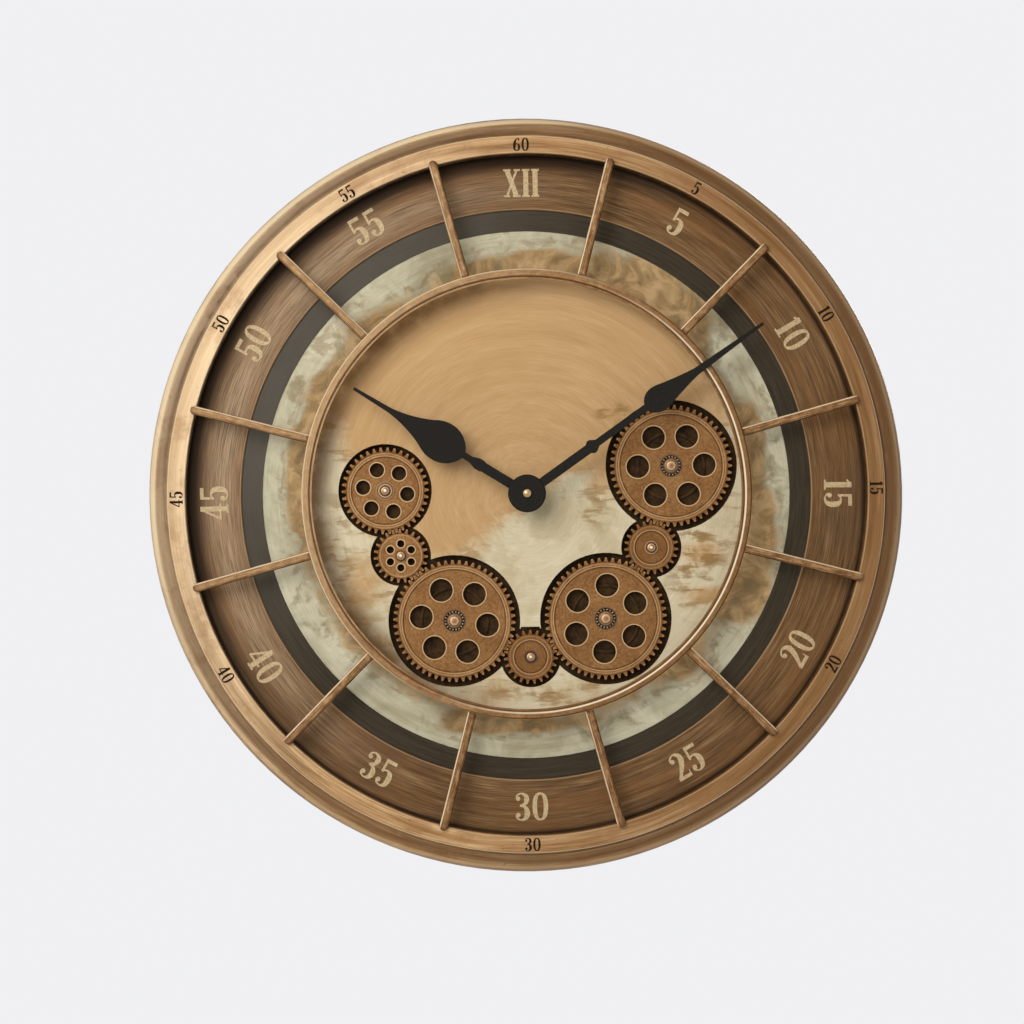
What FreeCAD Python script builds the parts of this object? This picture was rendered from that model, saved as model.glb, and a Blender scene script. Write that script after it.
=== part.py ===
import FreeCAD
import Part
import Sketcher
import math
import os

# Round wall clock with an open gear train under the dial.
# Pieces are drawn in the clock's own frame: across to the right, up, and depth, measured from
# the wall towards the front, from the point where the hands' axis meets the wall.
# In the model +X is to the right, +Z is up and the front faces -Y. The origin is the middle of
# the keyhole in the hanger plate, at the wall, so the hands' axis is one hook radius below it.

doc = FreeCAD.newDocument("wall_clock")
sheet = doc.addObject("Spreadsheet::Sheet", "sizes")

# The driving dimensions, in millimetres, degrees and counts.
driving_sizes = (
    # case ring: a flat numeral band, a groove and a bead on a deep ring
    ("case_radius", 300),
    ("back_chamfer", 2),
    ("bead_edge_depth", 41),
    ("bead_roll", 11),
    ("groove_width", 1.4),
    ("groove_depth", 4.5),
    ("bead_width", 15.5),
    ("band_width", 14),
    ("band_edge", 0.8),
    ("rebate_lap", 7.5),
    ("rebate_gap", 0.3),
    ("dial_recess", 16),
    # back board, and the rings and plate of the dial in front of it
    ("board_back", 24.5),
    ("board_thickness", 9),
    ("board_relief", 2),
    ("chapter_thickness", 4.5),
    ("chapter_width", 43.5),
    ("chapter_edge", 0.9),
    ("dark_thickness", 2.8),
    ("dark_width", 16.5),
    ("plate_thickness", 2),
    ("ring_joint", 0.12),
    # grille: bars that lap onto the numeral band, and the inner ring with its lip
    ("spoke_count", 12),
    ("spoke_first_angle", 15),
    ("spoke_width", 7),
    ("spoke_height", 4.5),
    ("spoke_bevel", 1.5),
    ("spoke_lap", 4),
    ("ring_outer_radius", 178.3),
    ("ring_width", 5.8),
    ("ring_bevel", 1),
    ("lip_width", 2),
    ("lip_height", 2.2),
    # gear train
    ("gear_module", 1.75),
    ("pressure_angle", 20),
    ("addendum_share", 0.8),
    ("dedendum_share", 1.1),
    ("tooth_relief", 0.3),
    ("big_teeth", 54),
    ("small_teeth", 23),
    ("upper_teeth", 38),
    ("gear_thickness", 4),
    ("gear_sink", 0.5),
    ("face_recess", 0.8),
    ("tooth_rim", 4),
    ("small_tooth_rim", 5),
    ("bottom_gear_across", 1.3),
    ("bottom_gear_drop", 129.9),
    ("lower_left_link", 153.8),
    ("left_pinion_link", 128.5),
    ("upper_left_link", 102.6),
    ("lower_right_link", 26.1),
    ("right_pinion_link", 56.4),
    ("upper_right_link", 75.3),
    ("face_holes", 6),
    ("big_hole_radius", 9.1),
    ("big_hole_circle", 26.6),
    ("upper_hole_radius", 5.75),
    ("upper_hole_circle", 17.8),
    ("pinion_hole_radius", 2.95),
    ("pinion_hole_circle", 9.6),
    ("lower_left_holes_turn", 52.2),
    ("left_pinion_holes_turn", 29.3),
    ("upper_left_holes_turn", 50.8),
    ("lower_right_holes_turn", 26.8),
    ("upper_right_holes_turn", 0.7),
    ("big_window_gap", 3.9),
    ("small_window_gap", 2.6),
    ("tongue_width", 15.2),
    # gear bridge behind the window, and the posts on it
    ("bridge_thickness", 2.5),
    ("bridge_margin", 12),
    ("rib_radius", 26.6),
    ("rib_width", 2),
    ("rib_height", 2),
    ("post_radius", 2.5),
    ("post_shoulder_radius", 4.2),
    ("bearing_post_radius", 3.9),
    ("bearing_shoulder_radius", 5.5),
    ("post_screw_reach", 5),
    ("big_washer_radius", 7.2),
    ("washer_radius", 5.2),
    ("small_washer_radius", 4.4),
    ("washer_thickness", 0.8),
    ("post_head_radius", 3.4),
    ("post_head_height", 1.7),
    # open ball bearings of the big gears
    ("bearing_radius", 9.2),
    ("outer_race_wall", 1),
    ("inner_race_radius", 6.2),
    ("bearing_width", 3),
    ("ball_radius", 0.85),
    ("ball_count", 18),
    ("cap_radius", 5.2),
    ("cap_height", 2.2),
    ("cap_edge", 1.1),
    # clearances, and the overrun of cuts
    ("seat_gap", 0.3),
    ("running_gap", 0.05),
    ("screw_gap", 0.2),
    ("cut_overrun", 1),
    # screws of the board, the bridge and the drive
    ("screw_radius", 1.5),
    ("screw_head_radius", 3.1),
    ("screw_head_height", 1.8),
    ("board_screw_count", 8),
    ("board_screw_inset", 3.7),
    ("board_screw_first_angle", 22.5),
    ("board_screw_reach", 9),
    ("bridge_screw_inset", 5.5),
    ("bridge_screw_reach", 6),
    # keyhole hanger, let into the back of the case at the top
    ("hook_inset", 13),
    ("hanger_width", 48),
    ("hanger_height", 17),
    ("hanger_corner", 3),
    ("hanger_rise", 2),
    ("hanger_thickness", 1.5),
    ("keyhole_radius", 4.5),
    ("keyhole_slot_radius", 2.2),
    ("keyhole_slot_rise", 6),
    ("hook_pocket_radius", 5.6),
    ("hook_pocket_rise", 4),
    ("hook_pocket_depth", 12),
    ("hanger_screw_spacing", 34),
    ("hanger_head_radius", 2.8),
    ("hanger_head_height", 0.8),
    ("hanger_screw_sink", 1),
    ("hanger_screw_reach", 14),
    # clock movement behind the board
    ("movement_side", 56),
    ("movement_thickness", 16),
    ("housing_corner", 4),
    ("bushing_radius", 4),
    ("bushing_sink", 6),
    ("bushing_reach", 12),
    ("bushing_washer_radius", 8),
    ("bushing_washer_thickness", 0.8),
    ("nut_across_flats", 12),
    ("nut_thickness", 3),
    ("shaft_bore_depth", 12.5),
    ("knob_across", 13),
    ("knob_up", 12),
    ("knob_radius", 6.5),
    ("knob_height", 4.5),
    ("knob_shaft_radius", 1.5),
    ("knob_shaft_length", 5),
    ("knob_grips", 10),
    ("knob_grip_radius", 0.9),
    # round cells, their bays and contacts
    ("cell_radius", 7.1),
    ("cell_length", 49.3),
    ("cell_button_radius", 2.7),
    ("cell_button_length", 1),
    ("contact_thickness", 0.4),
    ("contact_side", 9),
    ("movement_cell_drop", 18.6),
    # gear drive on the back of the bridge
    ("drive_width", 62),
    ("drive_height", 62),
    ("drive_thickness", 20),
    ("drive_shaft_inset", 14),
    ("drive_bore_depth", 8),
    ("drive_cell_inset", 9.5),
    ("drive_cell_pitch", 16),
    ("drive_screw_inset", 6),
    ("drive_screw_sink", 10),
    ("switch_inset", 7),
    ("switch_length", 5.4),
    ("switch_width", 3.4),
    ("switch_height", 4),
    ("switch_slot_depth", 3),
    ("switch_travel", 3),
    # hands, from the back: hour tube and hand, minute arbor and hand, hand nut
    ("hour_tube_radius", 2.6),
    ("arbor_radius", 1.8),
    ("hand_thickness", 1.4),
    ("hour_hand_depth", 55.2),
    ("minute_hand_depth", 60.2),
    ("collet_radius", 4.5),
    ("collet_height", 3.6),
    ("hour_hub_radius", 13),
    ("hub_radius", 15),
    ("hub_height", 2.6),
    ("hub_bevel", 1),
    ("hub_step_radius", 10.2),
    ("hub_step", 0.4),
    ("hand_nut_radius", 3.15),
    ("hand_nut_height", 3.2),
    ("hand_nut_crown", 1.2),
    ("hand_nut_cap", 1),
    ("knuckle_slope", 2),
    ("tip_half", 1.2),
    ("hour_hand_angle", 147.8),
    ("hour_length", 160.5),
    ("hour_shaft_half", 3.86),
    ("hour_knuckle_start", 42),
    ("hour_knuckle_end", 46),
    ("hour_knuckle_half", 4.6),
    ("hour_neck_start", 52),
    ("hour_neck_half", 2.6),
    ("hour_leaf_start", 58.5),
    ("hour_leaf_widest", 78.7),
    ("hour_leaf_half", 16.05),
    ("hour_leaf_shoulder", 92.9),
    ("hour_shoulder_half", 11.7),
    ("hour_leaf_end", 127.5),
    ("hour_point_half", 2.1),
    ("hour_flank_radius", 105),
    ("minute_hand_angle", 34.8),
    ("minute_length", 230.6),
    ("minute_shaft_half", 3.8),
    ("minute_knuckle_start", 62),
    ("minute_knuckle_end", 64.5),
    ("minute_knuckle_half", 5.5),
    ("minute_neck_start", 68.5),
    ("minute_neck_half", 2.9),
    ("minute_leaf_start", 116.5),
    ("minute_leaf_widest", 127.8),
    ("minute_leaf_half", 10.36),
    ("minute_leaf_shoulder", 136.5),
    ("minute_shoulder_half", 8.86),
    ("minute_leaf_end", 165),
    ("minute_point_half", 3.1),
    ("minute_flank_radius", 300),
)

for row, (alias, size) in enumerate(driving_sizes, 1):
    sheet.set(f"A{row}", str(size))
    sheet.setAlias(f"A{row}", alias)
doc.recompute()


# The number that an expression gives.
def value(expression):
    return float(sheet.evalExpression(expression))


# The whole number that an expression gives.
def count_of(expression):
    return int(round(value(expression)))


# An expression for a sum.
def plus(*terms):
    return "(" + " + ".join(terms) + ")"


# An expression for the first term less the others.
def minus(*terms):
    return "(" + " - ".join(terms) + ")"


# An expression for half of a term.
def half(term):
    return f"({term} / 2)"


# An expression for twice a term.
def twice(term):
    return f"({term} * 2)"


# The place at an angle, in degrees from the right, on a circle about a centre.
def on_circle(radius, angle, centre=("0", "0")):
    across = f"({centre[0]} + {radius} * cos({angle}))"
    up = f"({centre[1]} + {radius} * sin({angle}))"
    return across, up


# Places spread evenly on a circle.
def round_circle(radius, count, first="0", centre=("0", "0")):
    number = count_of(count)
    return [on_circle(radius, f"({first} + {k} * 360 / {number})", centre) for k in range(number)]


# The radius of an arc that starts level and drops by a fall over a reach.
def level_arc(reach, fall):
    return f"(({reach} * {reach} + {fall} * {fall}) / {twice(fall)})"


# Sets a piece in the clock's frame, turned by an angle in degrees about its own axis.
def place(piece, across="0", up="0", depth="0", turn="0"):
    upright = FreeCAD.Rotation(FreeCAD.Vector(1, 0, 0), 90)
    about_axis = FreeCAD.Rotation(FreeCAD.Vector(0, 0, 1), value(turn))
    piece.Placement = FreeCAD.Placement(FreeCAD.Vector(), upright * about_axis)
    piece.setExpression("Placement.Base.x", across)
    piece.setExpression("Placement.Base.y", f"-({depth})")
    piece.setExpression("Placement.Base.z", minus(up, hook_radius))
    return piece


# A body in the clock's frame. A loose one may hold several separate solids.
def new_body(label, centre=("0", "0"), turn="0", loose=False):
    body = doc.addObject("PartDesign::Body", label)
    body.Label = label
    body.AllowCompound = loose
    return place(body, centre[0], centre[1], "0", turn)


# An empty sketch on one of a body's own planes, lifted along the plane's normal.
def new_sketch(body, plane, lift="0"):
    sketch = body.newObject("Sketcher::SketchObject", body.Label + "_sketch")
    support = [part for part in body.Origin.OriginFeatures if part.Role == plane][0]
    sketch.AttachmentSupport = [(support, "")]
    sketch.MapMode = "FlatFace"
    sketch.setExpression("AttachmentOffset.Base.z", lift)
    return sketch


# Adds a constraint whose size follows an expression.
def bind(sketch, kind, places, expression):
    number = sketch.addConstraint(Sketcher.Constraint(kind, *places, value(expression)))
    sketch.setExpression(f"Constraints[{number}]", expression)


# An arc between two points: side 1 bulges to the right of the way there, and -1 to the left.
def arc_between(start, end, radius, side):
    chord = end - start
    reach = math.sqrt(max(radius ** 2 - chord.Length ** 2 / 4, 0))
    leftward = FreeCAD.Vector(-chord.y, chord.x, 0).normalize()
    centre = (start + end) / 2 + leftward * reach * side
    ends = (start, end) if side > 0 else (end, start)
    angles = [math.atan2(point.y - centre.y, point.x - centre.x) for point in ends]
    return Part.ArcOfCircle(Part.Circle(centre, FreeCAD.Vector(0, 0, 1), radius), *angles)


# Draws a closed outline. Each corner is (across, up), or (across, up, radius, side) where an
# arc leads on to the next corner.
def draw(sketch, corners):
    points = [FreeCAD.Vector(value(corner[0]), value(corner[1]), 0) for corner in corners]
    edges = []
    for corner, start, end in zip(corners, points, points[1:] + points[:1]):
        if len(corner) == 2:
            edge = sketch.addGeometry(Part.LineSegment(start, end), False)
            edges.append((edge, 1, 2))
            continue
        side = corner[3]
        edge = sketch.addGeometry(arc_between(start, end, value(corner[2]), side), False)
        edges.append((edge, 1, 2) if side > 0 else (edge, 2, 1))
    for (edge, _, end), (following, start, _) in zip(edges, edges[1:] + edges[:1]):
        sketch.addConstraint(Sketcher.Constraint("Coincident", edge, end, following, start))
    for (edge, start, _), corner in zip(edges, corners):
        bind(sketch, "DistanceX", (-1, 1, edge, start), corner[0])
        bind(sketch, "DistanceY", (-1, 1, edge, start), corner[1])
        if len(corner) > 2:
            bind(sketch, "Radius", (edge,), corner[2])
    return sketch


# Draws circles of one radius at the places.
def draw_circles(sketch, places, radius):
    for across, up in places:
        centre = FreeCAD.Vector(value(across), value(up), 0)
        circle = Part.Circle(centre, FreeCAD.Vector(0, 0, 1), value(radius))
        edge = sketch.addGeometry(circle, False)
        bind(sketch, "DistanceX", (-1, 1, edge, 3), across)
        bind(sketch, "DistanceY", (-1, 1, edge, 3), up)
        bind(sketch, "Radius", (edge,), radius)
    return sketch


# Turns an outline of radius and depth about the body's axis.
def revolve(body, corners):
    sketch = draw(new_sketch(body, "XZ_Plane"), corners)
    turned = body.newObject("PartDesign::Revolution", body.Label + "_turned")
    turned.Profile = sketch
    turned.ReferenceAxis = (sketch, ["V_Axis"])
    turned.Angle = 360
    doc.recompute()


# Raises a sketch towards the front.
def pad(body, sketch, length):
    raised = body.newObject("PartDesign::Pad", body.Label + "_pad")
    raised.Profile = sketch
    raised.setExpression("Length", length)
    doc.recompute()


# Cuts a sketch into the body, towards the front.
def pocket(body, sketch, length):
    volume = body.Shape.Volume
    cut = body.newObject("PartDesign::Pocket", body.Label + "_pocket")
    cut.Profile = sketch
    cut.Reversed = True
    cut.setExpression("Length", length)
    doc.recompute()
    if body.Shape.isNull() or body.Shape.Volume >= volume:
        raise RuntimeError(f"a pocket in {body.Label} cuts nothing")


# An outline raised from the depth start.
def raise_outline(body, corners, start, length):
    pad(body, draw(new_sketch(body, "XY_Plane", start), corners), length)


# An outline cut from the depth start.
def cut_outline(body, corners, start, length):
    pocket(body, draw(new_sketch(body, "XY_Plane", start), corners), length)


# Round bosses from the depth start, or rings where a bore is given.
def raise_rounds(body, places, start, length, radius, bore=None):
    sketch = draw_circles(new_sketch(body, "XY_Plane", start), places, radius)
    if bore:
        draw_circles(sketch, places, bore)
    pad(body, sketch, length)


# Round holes from the depth start.
def cut_rounds(body, places, start, length, radius):
    pocket(body, draw_circles(new_sketch(body, "XY_Plane", start), places, radius), length)


# Round holes right through a layer.
def drill_layer(body, places, start, length, radius):
    through = plus(length, twice("sizes.cut_overrun"))
    cut_rounds(body, places, minus(start, "sizes.cut_overrun"), through, radius)


# Bevels the edges of a body's foremost flat face.
def bevel_front(body, size):
    raised = body.Tip
    depths = [face.CenterOfMass.z for face in raised.Shape.Faces]
    bevelled = body.newObject("PartDesign::Chamfer", body.Label + "_bevel")
    bevelled.Base = (raised, [f"Face{depths.index(max(depths)) + 1}"])
    bevelled.setExpression("Size", size)
    doc.recompute()


# Corners of a rectangle about a middle, with quarter circles where a radius is given.
def rectangle(middle, width, height, radius=None):
    left, right = minus(middle[0], half(width)), plus(middle[0], half(width))
    low, high = minus(middle[1], half(height)), plus(middle[1], half(height))
    if not radius:
        return [(left, low), (right, low), (right, high), (left, high)]
    return [
        (plus(left, radius), low),
        (minus(right, radius), low, radius, 1),
        (right, plus(low, radius)),
        (right, minus(high, radius), radius, 1),
        (minus(right, radius), high),
        (plus(left, radius), high, radius, 1),
        (left, minus(high, radius)),
        (left, plus(low, radius), radius, 1),
    ]


# Corners of an upright slot with round ends, between the middles of its ends.
def slot(across, low, high, radius):
    left, right = minus(across, radius), plus(across, radius)
    return [
        (right, low),
        (right, high, radius, 1),
        (across, plus(high, radius), radius, 1),
        (left, high),
        (left, low, radius, 1),
        (across, minus(low, radius), radius, 1),
    ]


# A plain cylinder along the depth.
def cylinder(label, centre, start, length, radius):
    solid = doc.addObject("Part::Cylinder", label)
    solid.setExpression("Radius", radius)
    solid.setExpression("Height", length)
    return place(solid, centre[0], centre[1], start)


# A plain block about a middle: size is its width, its height and its length along the depth.
def block(label, middle, start, size):
    solid = doc.addObject("Part::Box", label)
    solid.setExpression("Length", size[0])
    solid.setExpression("Width", size[1])
    solid.setExpression("Height", size[2])
    return place(solid, minus(middle[0], half(size[0])), minus(middle[1], half(size[1])), start)


# Overlapping solids as one.
def joined(label, solids):
    whole = doc.addObject("Part::MultiFuse", label)
    whole.Shapes = solids
    whole.Refine = True
    return whole


# A base less a tool.
def cut_from(label, base, tool):
    rest = doc.addObject("Part::Cut", label)
    rest.Label = label
    rest.Base = base
    rest.Tool = tool
    return rest


# Separate solids kept as one piece.
def together(label, solids):
    group = doc.addObject("Part::Compound", label)
    group.Label = label
    group.Links = solids
    return group


# Screws along the depth: a head is its radius and height, a shank its start and length.
def build_screws(label, places, head_start, head, shank_start, shank_length):
    body = new_body(label, loose=True)
    raise_rounds(body, places, head_start, head[1], head[0])
    raise_rounds(body, places, shank_start, shank_length, "sizes.screw_radius")
    return body


# Depths of the layers, and radii that several pieces share.
board_front = plus("sizes.board_back", "sizes.board_thickness")
plate_front = plus(board_front, "sizes.plate_thickness")
dial_front = plus(board_front, "sizes.chapter_thickness")
case_front = plus(dial_front, "sizes.dial_recess")
gear_front = minus(board_front, "sizes.gear_sink")
gear_face = minus(gear_front, "sizes.face_recess")
gear_back = minus(gear_front, "sizes.gear_thickness")
bearing_back = minus(gear_face, "sizes.bearing_width")
bridge_back = minus("sizes.board_back", "sizes.bridge_thickness")
drive_back = minus(bridge_back, "sizes.drive_thickness")
movement_back = minus("sizes.board_back", "sizes.movement_thickness")
behind_case = minus("0", "sizes.cut_overrun")
band_outer_radius = minus("sizes.case_radius", "sizes.bead_width")
band_inner_radius = minus(band_outer_radius, "sizes.band_width")
rebate_radius = plus(band_inner_radius, "sizes.rebate_lap")
chapter_inner_radius = minus(band_inner_radius, "sizes.chapter_width")
dark_inner_radius = minus(chapter_inner_radius, "sizes.dark_width")
hook_radius = minus("sizes.case_radius", "sizes.hook_inset")
board_radius = minus(rebate_radius, "sizes.rebate_gap")
board_bore = plus("sizes.bushing_radius", "sizes.seat_gap")
pilot_radius = plus("sizes.screw_radius", "sizes.running_gap")
screw_hole_radius = plus("sizes.screw_radius", "sizes.screw_gap")
outer_race_bore = minus("sizes.bearing_radius", "sizes.outer_race_wall")
screw_head = ("sizes.screw_head_radius", "sizes.screw_head_height")


# One gear of the train: its teeth, its centre, its front and the window that it turns in.
# Each gear but the bottom one meshes with the gear before it, at the angle of a link.
class Gear:
    def __init__(self, name, size, before=None, link=None, holes=None, flat=False):
        self.name = name
        self.size = size
        self.before = before
        self.link = f"sizes.{link}_link"
        self.holes = holes
        self.teeth = f"sizes.{size}_teeth"
        self.pitch_radius = half(f"{self.teeth} * sizes.gear_module")
        self.tip_radius = plus(self.pitch_radius, "sizes.addendum_share * sizes.gear_module")
        self.root_radius = minus(self.pitch_radius, "sizes.dedendum_share * sizes.gear_module")
        gap = "sizes.big_window_gap" if size == "big" else "sizes.small_window_gap"
        self.window_radius = plus(self.tip_radius, gap)
        self.rim = "sizes.small_tooth_rim" if size == "small" else "sizes.tooth_rim"
        self.face = gear_front if flat else gear_face
        self.centre = ("sizes.bottom_gear_across", "-sizes.bottom_gear_drop")
        if before:
            spacing = plus(self.pitch_radius, before.pitch_radius)
            self.centre = on_circle(spacing, self.link, before.centre)

    # The angle in radians of one tooth. On the line to the gear before, a tooth of one gear
    # meets a gap of the other.
    def tooth_angle(self):
        if not self.before:
            return math.pi / 2
        line = math.radians(value(self.link))
        pitch = 2 * math.pi / count_of(self.teeth)
        pitch_before = 2 * math.pi / count_of(self.before.teeth)
        teeth_before = (line - self.before.tooth_angle()) / pitch_before
        return line + math.pi - pitch * (0.5 - teeth_before)


gear_4 = Gear("gear_4", "small")
gear_3 = Gear("gear_3", "big", gear_4, "lower_left", "lower_left")
gear_2 = Gear("gear_2", "small", gear_3, "left_pinion", "left_pinion", flat=True)
gear_1 = Gear("gear_1", "upper", gear_2, "upper_left", "upper_left")
gear_5 = Gear("gear_5", "big", gear_4, "lower_right", "lower_right")
gear_6 = Gear("gear_6", "small", gear_5, "right_pinion")
gear_7 = Gear("gear_7", "big", gear_6, "upper_right", "upper_right")
gears = (gear_1, gear_2, gear_3, gear_4, gear_5, gear_6, gear_7)
bearing_gears = (gear_3, gear_5, gear_7)
bearing_centres = [gear.centre for gear in bearing_gears]
plain_gears = (gear_1, gear_2, gear_6)
washer_radii = ("sizes.big_washer_radius", "sizes.small_washer_radius", "sizes.washer_radius")
hole_sizes = {"big": "big", "upper": "upper", "small": "pinion"}


# Places of the screws and of what the housings hold.
on_axis = [("0", "0")]
board_screw_circle = plus(band_inner_radius, "sizes.board_screw_inset")
board_screw_places = round_circle(
    board_screw_circle, "sizes.board_screw_count", "sizes.board_screw_first_angle"
)
hanger_middle = ("0", plus(hook_radius, "sizes.hanger_rise"))
hanger_screw_shift = half("sizes.hanger_screw_spacing")
hanger_screw_places = [
    (minus("0", hanger_screw_shift), hanger_middle[1]),
    (hanger_screw_shift, hanger_middle[1]),
]
# The bridge's screws stand beside these gears' windows, in directions given in degrees.
bridge_screws = ((gear_1, 95), (gear_2, 190), (gear_3, 225), (gear_5, 315), (gear_6, 350), (gear_7, 85))
bridge_screw_places = [
    on_circle(plus(gear.window_radius, "sizes.bridge_screw_inset"), str(direction), gear.centre)
    for gear, direction in bridge_screws
]
drive_across = gear_4.centre[0]
drive_top = plus(gear_4.centre[1], "sizes.drive_shaft_inset")
drive_low = minus(drive_top, "sizes.drive_height")
drive_middle = (drive_across, half(plus(drive_top, drive_low)))
drive_first_cell = plus(drive_low, "sizes.drive_cell_inset")
drive_cell_places = [
    (drive_across, drive_first_cell),
    (drive_across, plus(drive_first_cell, "sizes.drive_cell_pitch")),
]
drive_screw_up = minus(drive_top, "sizes.drive_screw_inset")
drive_screw_shift = minus(half("sizes.drive_width"), "sizes.drive_screw_inset")
drive_screw_places = [
    (minus(drive_across, drive_screw_shift), drive_screw_up),
    (plus(drive_across, drive_screw_shift), drive_screw_up),
]
drive_screw_seat = plus(drive_back, "sizes.drive_screw_sink")
switch_place = (drive_across, minus(drive_top, "sizes.switch_inset"))
movement_cell_place = ("0", minus("0", "sizes.movement_cell_drop"))
knob_place = ("sizes.knob_across", "sizes.knob_up")


# The hanger plate's outline, larger by a widening.
def hanger_outline(widening):
    width, height = plus("sizes.hanger_width", widening), plus("sizes.hanger_height", widening)
    return rectangle(hanger_middle, width, height, "sizes.hanger_corner")


# The moulded ring, with pockets in its back for the hanger and pilot holes for screws.
def build_case_ring():
    body = new_body("case_ring")
    groove_floor = minus(case_front, "sizes.groove_depth")
    revolve(body, [
        (rebate_radius, "0"),
        (minus("sizes.case_radius", "sizes.back_chamfer"), "0"),
        ("sizes.case_radius", "sizes.back_chamfer"),
        ("sizes.case_radius", "sizes.bead_edge_depth", "sizes.bead_roll", 1),
        (plus(band_outer_radius, "sizes.groove_width"), groove_floor),
        (band_outer_radius, groove_floor),
        (band_outer_radius, minus(case_front, "sizes.band_edge")),
        (minus(band_outer_radius, "sizes.band_edge"), case_front),
        (plus(band_inner_radius, "sizes.band_edge"), case_front),
        (band_inner_radius, minus(case_front, "sizes.band_edge")),
        (band_inner_radius, dial_front),
        (rebate_radius, dial_front),
    ])
    recess = hanger_outline(twice("sizes.seat_gap"))
    cut_outline(body, recess, behind_case, plus("sizes.hanger_thickness", "sizes.cut_overrun"))
    top = plus(hook_radius, "sizes.hook_pocket_rise")
    room = slot("0", hook_radius, top, "sizes.hook_pocket_radius")
    cut_outline(body, room, behind_case, plus("sizes.hook_pocket_depth", "sizes.cut_overrun"))
    reach = plus("sizes.hanger_screw_reach", "sizes.seat_gap", "sizes.cut_overrun")
    cut_rounds(body, hanger_screw_places, behind_case, reach, pilot_radius)
    reach = plus("sizes.board_screw_reach", "sizes.seat_gap", "sizes.cut_overrun")
    cut_rounds(body, board_screw_places, minus(dial_front, "sizes.cut_overrun"), reach, pilot_radius)
    return body


# The keyhole plate, flush with the back of the case, with sunk screw holes.
def build_hanger_plate():
    body = new_body("hanger_plate")
    thickness = "sizes.hanger_thickness"
    raise_outline(body, hanger_outline("0"), "0", thickness)
    drill_layer(body, [("0", hook_radius)], "0", thickness, "sizes.keyhole_radius")
    top = plus(hook_radius, "sizes.keyhole_slot_rise")
    keyway = slot("0", hook_radius, top, "sizes.keyhole_slot_radius")
    cut_outline(body, keyway, behind_case, plus(thickness, twice("sizes.cut_overrun")))
    drill_layer(body, hanger_screw_places, "0", thickness, screw_hole_radius)
    sink = plus("sizes.hanger_screw_sink", "sizes.cut_overrun")
    head_room = plus("sizes.hanger_head_radius", "sizes.screw_gap")
    cut_rounds(body, hanger_screw_places, behind_case, sink, head_room)
    return body


# A disc round each gear, wider than its window by a widening.
def gear_discs(label, widening, start, length):
    return [
        cylinder(f"{label}_{gear.name}", gear.centre, start, length, plus(gear.window_radius, widening))
        for gear in gears
    ]


# The window that the gears turn in. A notch leaves the tongue above the bottom gear flat.
def gear_window(label, widening, start, length):
    begin = minus(start, "sizes.cut_overrun")
    through = plus(length, twice("sizes.cut_overrun"))
    reach = plus(gear_4.window_radius, widening)
    middle = (gear_4.centre[0], plus(gear_4.centre[1], half(reach)))
    width = plus("sizes.tongue_width", twice(widening))
    notch = block(f"{label}_notch", middle, begin, (width, reach, through))
    return joined(label, gear_discs(label, widening, begin, through) + [notch])


# The board that carries the dial, with a window wider than the dial's.
def build_back_board():
    body = new_body("back_board_disc")
    start, thickness = "sizes.board_back", "sizes.board_thickness"
    raise_rounds(body, on_axis, start, thickness, board_radius, board_bore)
    drill_layer(body, board_screw_places, start, thickness, screw_hole_radius)
    reach = minus("sizes.bridge_screw_reach", "sizes.bridge_thickness")
    depth = plus(reach, "sizes.seat_gap", "sizes.cut_overrun")
    cut_rounds(body, bridge_screw_places, minus(start, "sizes.cut_overrun"), depth, pilot_radius)
    window = gear_window("board_window", "sizes.board_relief", start, thickness)
    return cut_from("back_board", body, window)


# The brushed ring that carries the hour numerals, with a rounded inner edge.
def build_chapter_ring():
    body = new_body("chapter_ring")
    inner, edge = chapter_inner_radius, "sizes.chapter_edge"
    revolve(body, [
        (inner, board_front),
        (board_radius, board_front),
        (board_radius, dial_front),
        (plus(inner, edge), dial_front, edge, -1),
        (inner, minus(dial_front, edge)),
    ])
    drill_layer(body, board_screw_places, board_front, "sizes.chapter_thickness", screw_hole_radius)
    return body


# The dark ring between the chapter ring and the dial plate.
def build_dark_ring():
    body = new_body("dark_ring")
    outer = minus(chapter_inner_radius, "sizes.ring_joint")
    raise_rounds(body, on_axis, board_front, "sizes.dark_thickness", outer, dark_inner_radius)
    return body


# The thin dial plate, with the window that shows the gears.
def build_dial_plate():
    body = new_body("dial_plate_disc")
    outer = minus(dark_inner_radius, "sizes.ring_joint")
    raise_rounds(body, on_axis, board_front, "sizes.plate_thickness", outer, board_bore)
    window = gear_window("plate_window", "0", board_front, "sizes.plate_thickness")
    return cut_from("dial_plate", body, window)


# The grille's inner ring: a bevelled bar with a low lip inside it.
def build_inner_ring():
    body = new_body("inner_ring")
    outer, bevel = "sizes.ring_outer_radius", "sizes.ring_bevel"
    inner = minus(outer, "sizes.ring_width")
    lip = minus(inner, "sizes.lip_width")
    front = plus(case_front, "sizes.spoke_height")
    lip_front = plus(case_front, "sizes.lip_height")
    revolve(body, [
        (lip, case_front),
        (outer, case_front),
        (outer, minus(front, bevel)),
        (minus(outer, bevel), front),
        (plus(inner, bevel), front),
        (inner, minus(front, bevel)),
        (inner, lip_front),
        (lip, lip_front),
    ])
    return body


# One bar of the grille, from the inner ring onto the numeral band, with a round outer end.
def build_spoke(number):
    turn = f"(sizes.spoke_first_angle + {number - 1} * 360 / sizes.spoke_count)"
    body = new_body(f"spoke_{number:02d}", turn=turn)
    high = half("sizes.spoke_width")
    low = minus("0", high)
    start = plus("sizes.ring_outer_radius", "sizes.seat_gap")
    end = plus(band_inner_radius, "sizes.spoke_lap")
    round_start = minus(end, high)
    outline = [
        (start, low),
        (round_start, low, high, 1),
        (end, "0", high, 1),
        (round_start, high),
        (start, high),
    ]
    raise_outline(body, outline, case_front, "sizes.spoke_height")
    bevel_front(body, "sizes.spoke_bevel")
    return body


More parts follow.
